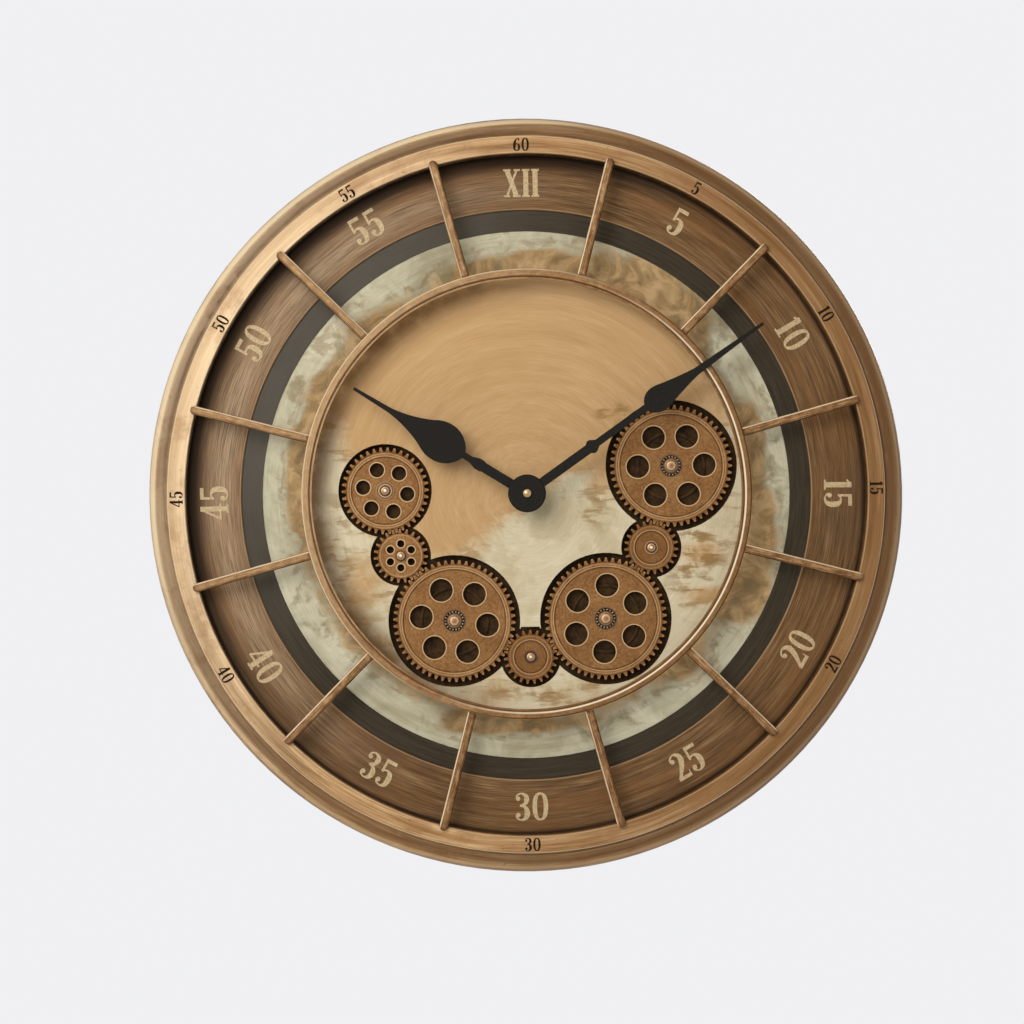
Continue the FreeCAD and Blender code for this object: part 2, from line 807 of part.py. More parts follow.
# The plate behind the window, with a round rib under each big gear.
def build_gear_bridge():
    plate = gear_discs("bridge", "sizes.bridge_margin", bridge_back, "sizes.bridge_thickness")
    height = plus("sizes.bridge_thickness", "sizes.rib_height")
    outer = plus("sizes.rib_radius", half("sizes.rib_width"))
    ribs = new_body("bridge_ribs", loose=True)
    raise_rounds(ribs, bearing_centres, bridge_back, height, outer, minus(outer, "sizes.rib_width"))
    begin = minus(bridge_back, "sizes.cut_overrun")
    through = plus("sizes.bridge_thickness", twice("sizes.cut_overrun"))
    post_hole = plus("sizes.post_radius", "sizes.running_gap")
    hole_groups = (
        ([gear.centre for gear in gears], post_hole),
        (bridge_screw_places, screw_hole_radius),
        (drive_screw_places, pilot_radius),
    )
    cutters = [
        cylinder("bridge_hole", spot, begin, through, radius)
        for places, radius in hole_groups
        for spot in places
    ]
    return cut_from("gear_bridge", joined("bridge_plate", plate + [ribs]), joined("bridge_holes", cutters))


# A disc with straight-sided teeth whose corners lie on involutes.
def toothed_blank(gear):
    teeth = count_of(gear.teeth)
    pitch_radius = value(gear.pitch_radius)
    pressure = math.radians(value("sizes.pressure_angle"))
    width = (math.pi * pitch_radius / teeth - value("sizes.tooth_relief")) / pitch_radius

    # Half of a tooth's angle at a radius.
    def half_angle(radius):
        at_radius = math.acos(min(pitch_radius * math.cos(pressure) / radius, 1))
        return width / 2 + math.tan(pressure) - pressure - math.tan(at_radius) + at_radius

    root, tip = value(gear.root_radius), value(gear.tip_radius)
    corners = []
    for tooth in range(teeth):
        middle = gear.tooth_angle() + 2 * math.pi * tooth / teeth
        for radius, side in ((root, -1), (tip, -1), (tip, 1), (root, 1)):
            angle = middle + side * half_angle(radius)
            corners.append(FreeCAD.Vector(radius * math.cos(angle), radius * math.sin(angle), 0))
    blank = doc.addObject("Part::Feature", gear.name + "_blank")
    outline = Part.Face(Part.makePolygon(corners + corners[:1]))
    blank.Shape = outline.extrude(FreeCAD.Vector(0, 0, value("sizes.gear_thickness")))
    return place(blank, gear.centre[0], gear.centre[1], gear_back)


# A toothed blank with its bore, its sunk face and its round holes.
def build_gear(gear):
    begin = minus(gear_back, "sizes.cut_overrun")
    through = plus("sizes.gear_thickness", twice("sizes.cut_overrun"))
    shaft = "sizes.bearing_radius" if gear in bearing_gears else "sizes.post_radius"
    bore = plus(shaft, "sizes.running_gap")
    cutters = [cylinder(gear.name + "_bore", gear.centre, begin, through, bore)]
    if gear.face == gear_face:
        sunk = minus(gear.root_radius, gear.rim)
        cutters.append(cylinder(gear.name + "_sunk", gear.centre, gear_face, through, sunk))
    if gear.holes:
        kind = hole_sizes[gear.size]
        turn = f"sizes.{gear.holes}_holes_turn"
        places = round_circle(f"sizes.{kind}_hole_circle", "sizes.face_holes", turn, gear.centre)
        cutters += [
            cylinder(gear.name + "_hole", spot, begin, through, f"sizes.{kind}_hole_radius")
            for spot in places
        ]
    return cut_from(gear.name, toothed_blank(gear), joined(gear.name + "_cutters", cutters))


# Posts with a stub in the bridge, a shoulder and a pin, and a blind hole for a screw.
def build_gear_posts():
    body = new_body("gear_posts", loose=True)
    plain_seat = minus(gear_back, "sizes.seat_gap")
    posts = [
        ([gear.centre], "sizes.post_shoulder_radius", plain_seat, "sizes.post_radius",
         plus(gear.face, "sizes.seat_gap"))
        for gear in plain_gears
    ]
    bearing_front = minus(gear_face, "sizes.seat_gap")
    posts.append((bearing_centres, "sizes.bearing_shoulder_radius", bearing_back,
                  "sizes.bearing_post_radius", bearing_front))
    depth = plus("sizes.post_screw_reach", twice("sizes.seat_gap"))
    for places, shoulder, seat, pin, front in posts:
        raise_rounds(body, places, bridge_back, "sizes.bridge_thickness", "sizes.post_radius")
        raise_rounds(body, places, "sizes.board_back", minus(seat, "sizes.board_back"), shoulder)
        raise_rounds(body, places, seat, minus(front, seat), pin)
        cut_rounds(body, places, minus(front, depth), plus(depth, "sizes.cut_overrun"), pilot_radius)
    return body


# Races of the bearings, all in one layer of the gears.
def build_races(label, places, outer, bore):
    body = new_body(label, loose=len(places) > 1)
    raise_rounds(body, places, bearing_back, "sizes.bearing_width", outer, bore)
    return body


# The ring of balls between a bearing's races.
def build_balls(gear):
    circle = half(plus(outer_race_bore, "sizes.inner_race_radius"))
    middle = plus(bearing_back, half("sizes.bearing_width"))
    balls = []
    for centre in round_circle(circle, "sizes.ball_count", "0", gear.centre):
        ball = doc.addObject("Part::Sphere", gear.name + "_ball")
        ball.setExpression("Radius", "sizes.ball_radius")
        balls.append(place(ball, centre[0], centre[1], middle))
    return together(gear.name + "_balls", balls)


# A domed cap screwed into a bearing's post.
def build_cap(gear):
    body = new_body(gear.name + "_cap", gear.centre)
    tip = minus(gear_face, "sizes.post_screw_reach")
    dome = level_arc("sizes.cap_radius", minus("sizes.cap_height", "sizes.cap_edge"))
    revolve(body, [
        ("0", tip),
        ("sizes.screw_radius", tip),
        ("sizes.screw_radius", gear_face),
        ("sizes.cap_radius", gear_face),
        ("sizes.cap_radius", plus(gear_face, "sizes.cap_edge"), dome, 1),
        ("0", plus(gear_face, "sizes.cap_height")),
    ])
    return body


# Washers on the posts of the gears that have no bearing.
def build_post_washers():
    body = new_body("post_washers", loose=True)
    for gear, radius in zip(plain_gears, washer_radii):
        start = plus(gear.face, "sizes.seat_gap")
        raise_rounds(body, [gear.centre], start, "sizes.washer_thickness", radius, screw_hole_radius)
    return body


# Screws through those washers into the posts.
def build_post_screws():
    body = new_body("post_screws", loose=True)
    for gear in plain_gears:
        seat = plus(gear.face, "sizes.seat_gap", "sizes.washer_thickness")
        tip = minus(gear.face, "sizes.post_screw_reach")
        raise_rounds(body, [gear.centre], seat, "sizes.post_head_height", "sizes.post_head_radius")
        raise_rounds(body, [gear.centre], tip, minus(seat, tip), "sizes.screw_radius")
    return body


# The drive's shaft, with a collar that carries the bottom gear and a blind hole for its screw.
def build_drive_shaft():
    body = new_body("drive_shaft", gear_4.centre)
    start = plus(minus(bridge_back, "sizes.drive_bore_depth"), "sizes.seat_gap")
    collar = plus("sizes.board_back", "sizes.seat_gap")
    raise_rounds(body, on_axis, start, minus(gear_face, start), "sizes.post_radius")
    raise_rounds(body, on_axis, collar, minus(gear_back, collar), "sizes.post_shoulder_radius")
    depth = plus("sizes.post_screw_reach", "sizes.seat_gap")
    cut_rounds(body, on_axis, minus(gear_face, depth), plus(depth, "sizes.cut_overrun"), pilot_radius)
    return body


# The flanged screw that holds the bottom gear on that shaft.
def build_shaft_screw():
    body = new_body("shaft_screw", gear_4.centre)
    tip = minus(gear_face, "sizes.post_screw_reach")
    head_start = plus(gear_face, "sizes.washer_thickness")
    raise_rounds(body, on_axis, tip, "sizes.post_screw_reach", "sizes.screw_radius")
    raise_rounds(body, on_axis, gear_face, "sizes.washer_thickness", "sizes.washer_radius")
    raise_rounds(body, on_axis, head_start, "sizes.post_head_height", "sizes.post_head_radius")
    return body


cell_space = plus("sizes.cell_length", "sizes.cell_button_length", twice("sizes.seat_gap"))
bay_length = plus(cell_space, twice(plus("sizes.contact_thickness", "sizes.seat_gap")))
bay_height = twice(plus("sizes.cell_radius", "sizes.seat_gap"))
bay_depth = plus(twice("sizes.cell_radius"), "sizes.seat_gap")


# A round cell lying across a bay, with its button at the right or, with side -1, at the left.
def build_cell(label, middle, back, side):
    length, button = "sizes.cell_length", "sizes.cell_button_length"
    left = minus(middle[0], half(plus(length, button)))
    starts = (left, plus(left, length)) if side > 0 else (plus(left, button), left)
    sizes = ((length, "sizes.cell_radius"), (button, "sizes.cell_button_radius"))
    depth = plus(back, "sizes.cell_radius")
    pieces = []
    for start, (reach, radius) in zip(starts, sizes):
        piece = cylinder(label + "_piece", (start, middle[1]), depth, reach, radius)
        piece.Placement.Rotation = FreeCAD.Rotation(FreeCAD.Vector(0, 1, 0), 90)
        pieces.append(piece)
    return joined(label, pieces)


# An open bay for a cell in the back of a housing.
def cut_bay(body, middle, back):
    depth = plus(bay_depth, "sizes.cut_overrun")
    cut_outline(body, rectangle(middle, bay_length, bay_height), minus(back, "sizes.cut_overrun"), depth)


# The two contact plates of a bay.
def build_contacts(label, middle, back):
    shift = half(plus(cell_space, "sizes.contact_thickness"))
    start = plus(back, minus("sizes.cell_radius", half("sizes.contact_side")))
    size = ("sizes.contact_thickness", "sizes.contact_side", "sizes.contact_side")
    return [
        block(label, (across, middle[1]), start, size)
        for across in (minus(middle[0], shift), plus(middle[0], shift))
    ]


shaft_floor = minus("sizes.board_back", "sizes.shaft_bore_depth")
bushing_back = minus("sizes.board_back", "sizes.bushing_sink")
bushing_hole = plus("sizes.bushing_radius", "sizes.running_gap")
knob_depth = plus("sizes.knob_shaft_length", "sizes.seat_gap")
minute_hub_front = plus("sizes.minute_hand_depth", "sizes.hub_height")
nut_bore_end = plus(minute_hub_front, minus("sizes.hand_nut_height", "sizes.hand_nut_cap"))
arbor_back = plus(shaft_floor, "sizes.seat_gap")
tube_back = plus(arbor_back, "sizes.seat_gap")
tube_bore = plus("sizes.arbor_radius", "sizes.running_gap")


# The movement's housing, with a bore for the bushing, a bay for the cell and a knob hole.
def build_movement_case():
    body = new_body("movement_case")
    side = "sizes.movement_side"
    outline = rectangle(on_axis[0], side, side, "sizes.housing_corner")
    raise_outline(body, outline, movement_back, "sizes.movement_thickness")
    length = plus("sizes.shaft_bore_depth", "sizes.cut_overrun")
    cut_rounds(body, on_axis, shaft_floor, length, bushing_hole)
    cut_bay(body, movement_cell_place, movement_back)
    begin = minus(movement_back, "sizes.cut_overrun")
    knob_bore = plus("sizes.knob_shaft_radius", "sizes.running_gap")
    cut_rounds(body, [knob_place], begin, plus(knob_depth, "sizes.cut_overrun"), knob_bore)
    return body


# The bushing that holds the movement in the board, as a tube without its thread.
def build_bushing():
    body = new_body("movement_bushing")
    length = plus(minus(plate_front, bushing_back), "sizes.bushing_reach")
    bore = plus("sizes.hour_tube_radius", "sizes.running_gap")
    raise_rounds(body, on_axis, bushing_back, length, "sizes.bushing_radius", bore)
    return body


# The washer under the bushing's nut.
def build_bushing_washer():
    body = new_body("bushing_washer")
    bore = plus("sizes.bushing_radius", "sizes.screw_gap")
    thickness = "sizes.bushing_washer_thickness"
    raise_rounds(body, on_axis, plate_front, thickness, "sizes.bushing_washer_radius", bore)
    return body


# The bushing's hexagonal nut.
def build_bushing_nut():
    body = new_body("bushing_nut")
    start = plus(plate_front, "sizes.bushing_washer_thickness")
    corners = round_circle("(sizes.nut_across_flats / 2 / cos(30))", "6")
    sketch = draw(new_sketch(body, "XY_Plane", start), corners)
    draw_circles(sketch, on_axis, bushing_hole)
    pad(body, sketch, "sizes.nut_thickness")
    return body


# The knob that sets the hands, with finger grips round it and a short shaft.
def build_setting_knob():
    body = new_body("setting_knob", knob_place)
    front = minus(movement_back, "sizes.seat_gap")
    start = minus(front, "sizes.knob_height")
    raise_rounds(body, on_axis, start, "sizes.knob_height", "sizes.knob_radius")
    grips = round_circle("sizes.knob_radius", "sizes.knob_grips")
    drill_layer(body, grips, start, "sizes.knob_height", "sizes.knob_grip_radius")
    raise_rounds(body, on_axis, front, knob_depth, "sizes.knob_shaft_radius")
    return body


# The drive's housing, with a shaft bore, two cell bays, a switch slot and sunk screw holes.
def build_drive_case():
    body = new_body("drive_case")
    outline = rectangle(drive_middle, "sizes.drive_width", "sizes.drive_height", "sizes.housing_corner")
    raise_outline(body, outline, drive_back, "sizes.drive_thickness")
    floor = minus(bridge_back, "sizes.drive_bore_depth")
    bore = plus("sizes.post_radius", "sizes.running_gap")
    cut_rounds(body, [gear_4.centre], floor, plus("sizes.drive_bore_depth", "sizes.cut_overrun"), bore)
    for spot in drive_cell_places:
        cut_bay(body, spot, drive_back)
    begin = minus(drive_back, "sizes.cut_overrun")
    length = plus("sizes.switch_length", "sizes.switch_travel", twice("sizes.seat_gap"))
    middle = (plus(switch_place[0], half("sizes.switch_travel")), switch_place[1])
    track = rectangle(middle, length, plus("sizes.switch_width", twice("sizes.seat_gap")))
    cut_outline(body, track, begin, plus("sizes.switch_slot_depth", "sizes.cut_overrun"))
    drill_layer(body, drive_screw_places, drive_back, "sizes.drive_thickness", screw_hole_radius)
    sink = plus("sizes.drive_screw_sink", "sizes.cut_overrun")
    head_room = plus("sizes.screw_head_radius", "sizes.screw_gap")
    cut_rounds(body, drive_screw_places, begin, sink, head_room)
    return body


# The slider of the drive's switch.
def build_drive_switch():
    body = new_body("drive_switch")
    floor = plus(drive_back, minus("sizes.switch_slot_depth", "sizes.seat_gap"))
    outline = rectangle(switch_place, "sizes.switch_length", "sizes.switch_width")
    raise_outline(body, outline, minus(floor, "sizes.switch_height"), "sizes.switch_height")
    return body


# A hand's blade, out along one side and back along the other: a straight shaft with a knuckle,
# a neck, a round-shouldered leaf with hollow flanks, and a slender point.
def blade_outline(hand, start):
    name = f"sizes.{hand}_"
    stations = [
        (start, name + "shaft_half"),
        (minus(name + "knuckle_start", "sizes.knuckle_slope"), name + "shaft_half"),
        (name + "knuckle_start", name + "knuckle_half"),
        (name + "knuckle_end", name + "knuckle_half"),
        (name + "neck_start", name + "neck_half"),
        (name + "leaf_start", name + "neck_half"),
        (name + "leaf_widest", name + "leaf_half"),
        (name + "leaf_shoulder", name + "shoulder_half"),
        (name + "leaf_end", name + "point_half"),
        (name + "length", "sizes.tip_half"),
    ]
    rise = level_arc(minus(name + "leaf_widest", name + "leaf_start"),
                     minus(name + "leaf_half", name + "neck_half"))
    fall = level_arc(minus(name + "leaf_shoulder", name + "leaf_widest"),
                     minus(name + "leaf_half", name + "shoulder_half"))
    arcs = {5: (rise, 1), 6: (fall, 1), 7: (name + "flank_radius", -1)}
    out = [(reach, minus("0", side)) + arcs.get(k, ()) for k, (reach, side) in enumerate(stations)]
    back = [(reach, side) + arcs.get(k - 1, ()) for k, (reach, side) in enumerate(stations)]
    return out + back[::-1]


# The flat hour hand, with a collet behind its hub that grips the hour tube.
def build_hour_hand():
    body = new_body("hour_hand", turn="sizes.hour_hand_angle")
    bore = plus("sizes.hour_tube_radius", "sizes.running_gap")
    back = "sizes.hour_hand_depth"
    front = plus(back, "sizes.hand_thickness")
    collet_back = minus(back, "sizes.collet_height")
    revolve(body, [
        (bore, collet_back),
        ("sizes.collet_radius", collet_back),
        ("sizes.collet_radius", back),
        ("sizes.hour_hub_radius", back),
        ("sizes.hour_hub_radius", front),
        (bore, front),
    ])
    blade = blade_outline("hour", half("sizes.hour_hub_radius"))
    raise_outline(body, blade, back, "sizes.hand_thickness")
    return body


# The flat minute hand, with a thick stepped hub.
def build_minute_hand():
    body = new_body("minute_hand", turn="sizes.minute_hand_angle")
    back = "sizes.minute_hand_depth"
    rim = minus(minute_hub_front, "sizes.hub_step")
    revolve(body, [
        (tube_bore, back),
        ("sizes.hub_radius", back),
        ("sizes.hub_radius", minus(rim, "sizes.hub_bevel")),
        (minus("sizes.hub_radius", "sizes.hub_bevel"), rim),
        ("sizes.hub_step_radius", rim),
        ("sizes.hub_step_radius", minute_hub_front),
        (tube_bore, minute_hub_front),
    ])
    blade = blade_outline("minute", half("sizes.hub_radius"))
    raise_outline(body, blade, back, "sizes.hand_thickness")
    return body


# The hour hand's tube, which runs in the bushing.
def build_hour_tube():
    body = new_body("hour_tube")
    front = plus("sizes.hour_hand_depth", "sizes.hand_thickness", "sizes.seat_gap")
    raise_rounds(body, on_axis, tube_back, minus(front, tube_back), "sizes.hour_tube_radius", tube_bore)
    return body


# The minute hand's arbor, which runs in the hour tube.
def build_minute_arbor():
    body = new_body("minute_arbor")
    length = minus(nut_bore_end, "sizes.seat_gap", arbor_back)
    raise_rounds(body, on_axis, arbor_back, length, "sizes.arbor_radius")
    return body


# The domed nut on the front of the arbor.
def build_hand_nut():
    body = new_body("hand_nut")
    front = plus(minute_hub_front, "sizes.hand_nut_height")
    dome = level_arc("sizes.hand_nut_radius", "sizes.hand_nut_crown")
    revolve(body, [
        (tube_bore, minute_hub_front),
        ("sizes.hand_nut_radius", minute_hub_front),
        ("sizes.hand_nut_radius", minus(front, "sizes.hand_nut_crown"), dome, 1),
        ("0", front),
        ("0", nut_bore_end),
        (tube_bore, nut_bore_end),
    ])
    return body


# The screws of the board, the bridge, the drive and the hanger.
def build_all_screws():
    board_shank = plus("sizes.board_thickness", "sizes.chapter_thickness", "sizes.board_screw_reach")
    drive_shank = minus("sizes.board_back", drive_screw_seat)
    hanger_seat = "sizes.hanger_screw_sink"
    hanger_shank = minus("sizes.hanger_screw_reach", hanger_seat)
    hanger_head = ("sizes.hanger_head_radius", "sizes.hanger_head_height")
    groups = (
        ("board_screws", board_screw_places, "sizes.board_back", screw_head, board_shank),
        ("bridge_screws", bridge_screw_places, bridge_back, screw_head, "sizes.bridge_screw_reach"),
        ("drive_screws", drive_screw_places, drive_screw_seat, screw_head, drive_shank),
        ("hanger_screws", hanger_screw_places, hanger_seat, hanger_head, hanger_shank),
    )
    return [
        build_screws(label, places, minus(seat, head[1]), head, seat, shank)
        for label, places, seat, head, shank in groups
    ]


# The races, balls and caps of the bearings.
def build_bearings():
    inner_bore = plus("sizes.bearing_post_radius", "sizes.running_gap")
    pieces = [build_races("bearing_inner_races", bearing_centres, "sizes.inner_race_radius", inner_bore)]
    for gear in bearing_gears:
        label = gear.name + "_outer_race"
        pieces.append(build_races(label, [gear.centre], "sizes.bearing_radius", outer_race_bore))
        pieces.append(build_balls(gear))
    pieces.append(together("bearing_caps", [build_cap(gear) for gear in bearing_gears]))
    return pieces


# The cells of both housings and the contacts at their ends.
def build_power():
    drive_cells = [
        build_cell("drive_cell", spot, drive_back, side)
        for spot, side in zip(drive_cell_places, (1, -1))
    ]
    drive_contacts = [
        contact
        for spot in drive_cell_places
        for contact in build_contacts("drive_contact", spot, drive_back)
    ]
    movement_contacts = build_contacts("movement_contact", movement_cell_place, movement_back)
    return [
        build_cell("movement_cell", movement_cell_place, movement_back, 1),
        together("movement_contacts", movement_contacts),
        together("drive_cells", drive_cells),
        together("drive_contacts", drive_contacts),
    ]


pieces = [
    build_case_ring(),
    build_hanger_plate(),
    build_back_board(),
    build_chapter_ring(),
    build_dark_ring(),
    build_dial_plate(),
    build_inner_ring(),
    build_gear_bridge(),
    build_gear_posts(),
    build_post_washers(),
    build_post_screws(),
    build_movement_case(),
    build_bushing(),
    build_bushing_washer(),
    build_bushing_nut(),
    build_setting_knob(),
    build_drive_case(),
    build_drive_switch(),
    build_drive_shaft(),
    build_shaft_screw(),
    build_hour_hand(),
    build_hour_tube(),
    build_minute_hand(),
    build_minute_arbor(),
    build_hand_nut(),
]
pieces += [build_spoke(number) for number in range(1, count_of("sizes.spoke_count") + 1)]
pieces += [build_gear(gear) for gear in gears]
pieces += build_bearings() + build_all_screws() + build_power()

doc.recompute()
for item in doc.Objects:
    if "Invalid" in item.State or "Error" in item.State:
        raise RuntimeError(f"{item.Label} did not build: {item.State}")
os.makedirs("parts", exist_ok=True)
for piece in pieces:
    if piece.Shape.isNull() or not piece.Shape.isValid() or not piece.Shape.Solids:
        raise RuntimeError(f"{piece.Label} has no valid solid")
    piece.Shape.exportStep(f"parts/{piece.Label}.step")
print(len(pieces), "pieces,", sum(len(piece.Shape.Solids) for piece in pieces), "solids")
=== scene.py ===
import math

import bmesh
import bpy
import numpy as np
from mathutils import Matrix, Vector


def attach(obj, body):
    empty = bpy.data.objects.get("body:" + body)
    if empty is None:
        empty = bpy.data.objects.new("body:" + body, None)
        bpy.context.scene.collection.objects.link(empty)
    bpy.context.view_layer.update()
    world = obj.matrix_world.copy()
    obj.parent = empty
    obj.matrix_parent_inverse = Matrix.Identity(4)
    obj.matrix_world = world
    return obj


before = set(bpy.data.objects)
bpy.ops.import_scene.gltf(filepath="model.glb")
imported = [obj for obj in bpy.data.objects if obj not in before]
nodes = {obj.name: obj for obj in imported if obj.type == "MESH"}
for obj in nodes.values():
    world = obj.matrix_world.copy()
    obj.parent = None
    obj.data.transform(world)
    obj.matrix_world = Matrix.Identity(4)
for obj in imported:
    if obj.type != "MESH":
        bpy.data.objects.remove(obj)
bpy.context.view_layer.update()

# The clock's own places, in metres: the hands' axis, how far the flat faces of the case ring and
# the chapter ring stand in front of the wall, and radii round the axis. The front faces -y.
clock = {
    "axisHeight": -0.287,
    "caseFront": 0.054,
    "dialFront": 0.038,
    "bandInner": 0.2705,
    "bandOuter": 0.2845,
    "chapterInner": 0.227,
    "chapterOuter": 0.2705,
    "ringInner": 0.1725,
    "ringOuter": 0.1783,
}
# The gears: each axis in x and z, the teeth, the radius where a rim starts, and a round of holes
# as a hole's radius, the circle that it lies on and the angle of the first.
gearRows = (
    ("gear_1", (-0.112738, -0.282336), 38, 0.0273, (0.00575, 0.0178, 50.8)),
    ("gear_2", (-0.101095, -0.334425), 23, 0.0, (0.00295, 0.0096, 29.3)),
    ("gear_3", (-0.059153, -0.387154), 54, 0.0413, (0.0091, 0.0266, 52.2)),
    ("gear_4", (0.0013, -0.4169), 23, 0.0132, None),
    ("gear_5", (0.061805, -0.387259), 54, 0.0413, (0.0091, 0.0266, 26.8)),
    ("gear_6", (0.099089, -0.331141), 23, 0.0132, None),
    ("gear_7", (0.116186, -0.265971), 54, 0.0413, (0.0091, 0.0266, 0.7)),
)
gears = {
    name: {"centre": centre, "teeth": teeth, "rim": rim, "holes": holes}
    for name, centre, teeth, rim, holes in gearRows
}


# A colour as a paint shop gives it, from 0 to 255, made linear.
def shade(red, green, blue):
    parts = (red / 255, green / 255, blue / 255)
    return tuple(((part + 0.055) / 1.055) ** 2.4 if part > 0.04045 else part / 12.92 for part in parts)


# A wire is one output of a node, and operators on it add Math nodes.
class Wire:
    def __init__(self, tree, socket):
        self.tree = tree
        self.socket = socket

    # Any node: its type, its settings (a ramp's stops too), then its sockets by name or number.
    def node(self, kind, settings=None, sockets=None, output=0):
        made = self.tree.nodes.new("ShaderNode" + kind)
        for name, value in (settings or {}).items():
            if name == "stops":
                fillRamp(made.color_ramp, value)
            else:
                setattr(made, name, value)
        for key, value in (sockets or {}).items():
            if isinstance(value, Wire):
                self.tree.links.new(value.socket, made.inputs[key])
            elif isinstance(value, tuple) and len(value) == 3 and made.inputs[key].type == "RGBA":
                made.inputs[key].default_value = (*value, 1)
            else:
                made.inputs[key].default_value = value
        if output is None:
            return [Wire(self.tree, socket) for socket in made.outputs]
        return Wire(self.tree, made.outputs[output])

    def maths(self, operation, *terms):
        return self.node("Math", {"operation": operation}, dict(enumerate(terms)))

    def __add__(self, other):
        return self.maths("ADD", self, other)

    def __sub__(self, other):
        return self.maths("SUBTRACT", self, other)

    def __rsub__(self, other):
        return self.maths("SUBTRACT", other, self)

    def __mul__(self, other):
        return self.maths("MULTIPLY", self, other)

    def __truediv__(self, other):
        return self.maths("DIVIDE", self, other)

    def __pow__(self, other):
        return self.maths("POWER", self, other)

    __radd__ = __add__
    __rmul__ = __mul__

    # 0 below the first limit, 1 above the second, and a soft step between them.
    def step(self, low, high):
        sockets = {"Value": self, "From Min": low, "From Max": high}
        return self.node("MapRange", {"interpolation_type": "SMOOTHSTEP"}, sockets)

    # 1 at a value, falling to 0 within a reach on both sides.
    def near(self, value, reach):
        return 1 - self.maths("ABSOLUTE", self - value).step(0.0, reach)

    def colours(self, *stops):
        return self.node("ValToRGB", {"stops": stops}, {"Fac": self})

    # This colour, or the other one where the mask is 1.
    def blend(self, other, mask):
        return self.node("Mix", {"data_type": "RGBA"}, {0: mask, 6: self, 7: other}, 2)

    # A level that is partly this one and, by the share, the other one.
    def mixed(self, other, share):
        return self * (1 - share) + other * share

    # Stretched by a factor and lifted.
    def spread(self, factor, lift):
        return self * factor + lift


def fillRamp(ramp, stops):
    while len(ramp.elements) < len(stops):
        ramp.elements.new(0.5)
    for element, (place, colour) in zip(ramp.elements, stops):
        element.position = place
        element.color = (*colour, 1)


# One material: its Principled shader, its place on the object, and its colour so far. Its look
# gives the sockets that stay uniform, the tones of the ground and the washes that lie over it.
class Finish:
    def __init__(self, name, look):
        self.look = look
        self.material = bpy.data.materials.new(name)
        self.material.use_nodes = True
        self.tree = self.material.node_tree
        self.shader = self.tree.nodes["Principled BSDF"]
        self.start = Wire(self.tree, None)
        self.place = self.start.node("TexCoord", output=3)
        self.colour = None
        for socket, value in look["sockets"].items():
            self.shader.inputs[socket].default_value = value

    def set(self, name, wire):
        self.tree.links.new(wire.socket, self.shader.inputs[name])

    # Distance from an upright axis along the depth, and the direction there.
    def around(self, centre):
        x, _, z = self.place.node("SeparateXYZ", {}, {0: self.place}, None)
        across, up = x - centre[0], z - centre[1]
        self.reach = (across * across + up * up) ** 0.5
        self.across, self.up = across / self.reach, up / self.reach

    # The place along the depth, which falls towards the front.
    def depth(self):
        return self.start.node("SeparateXYZ", {}, {0: self.place}, 1)

    # Noise at a place given as three wires or numbers.
    def noiseAt(self, x, y, z, detail=3.0, rough=0.6):
        spot = self.start.node("CombineXYZ", {}, {0: x, 1: y, 2: z})
        sockets = {"Vector": spot, "Scale": 1.0, "Detail": detail, "Roughness": rough}
        return self.start.node("TexNoise", {}, sockets)

    def noise(self, scale, detail=3.0, rough=0.6, warp=0.0):
        sockets = {"Vector": self.place, "Scale": scale, "Detail": detail, "Roughness": rough}
        return self.start.node("TexNoise", {}, {**sockets, "Distortion": warp})

    # Brushing round the centre: the look gives how fine it is across the strokes and along them.
    def brushed(self, name):
        fine, along, detail, rough = self.look[name]
        return self.noiseAt(self.across * along, self.up * along, self.reach * fine, detail, rough)

    # Patches of noise: the look gives the noise, then where a patch starts and where it is full.
    def patches(self, name):
        *spread, low, high = self.look[name]
        return self.noise(*spread).step(low, high)

    # 1 on the named line round the centre, falling to 0 beside it.
    def line(self, name):
        return self.reach.near(*self.look["lines"][name])

    # 0 inside the named line round the centre and 1 outside it, with a soft step between.
    def outside(self, name):
        return self.reach.step(*self.look["edges"][name])

    # 0 to 1 towards the upper left, the lit side, for painted light and shade: the look gives how far
    # the lit side leans upwards, then where the mask starts and where it is full.
    def towardsLight(self, name):
        lean, low, high = self.look["towardsLight"][name]
        facing = self.up * lean - self.across * math.sqrt(1 - lean**2)
        return (facing * 0.5 + 0.5).step(low, high)

    def tones(self, name, tone):
        return tone.colours(*((place, shade(*paint)) for place, paint in self.look[name]))

    # One of the look's washes over the colour so far, where the mask is 1.
    def lay(self, name, mask=1.0):
        paint, strength = self.look["washes"][name]
        self.colour = self.colour.blend(shade(*paint), mask * strength)

    # Joins the colour, a roughness that follows a tone, and relief from a height of 0 to 1.
    def done(self, tone=None, height=None):
        self.set("Base Color", self.colour)
        if tone is not None:
            self.set("Roughness", tone.spread(*self.look["rough"]))
        if height is not None:
            depth, strength = self.look["relief"]
            sockets = {"Strength": strength, "Distance": depth, "Height": height}
            self.set("Normal", self.start.node("Bump", {}, sockets))
        return self.material


# The hands' axis in x and z, and the low specular level of the dull finishes.
hub = (0.0, clock["axisHeight"])
dull = 0.06

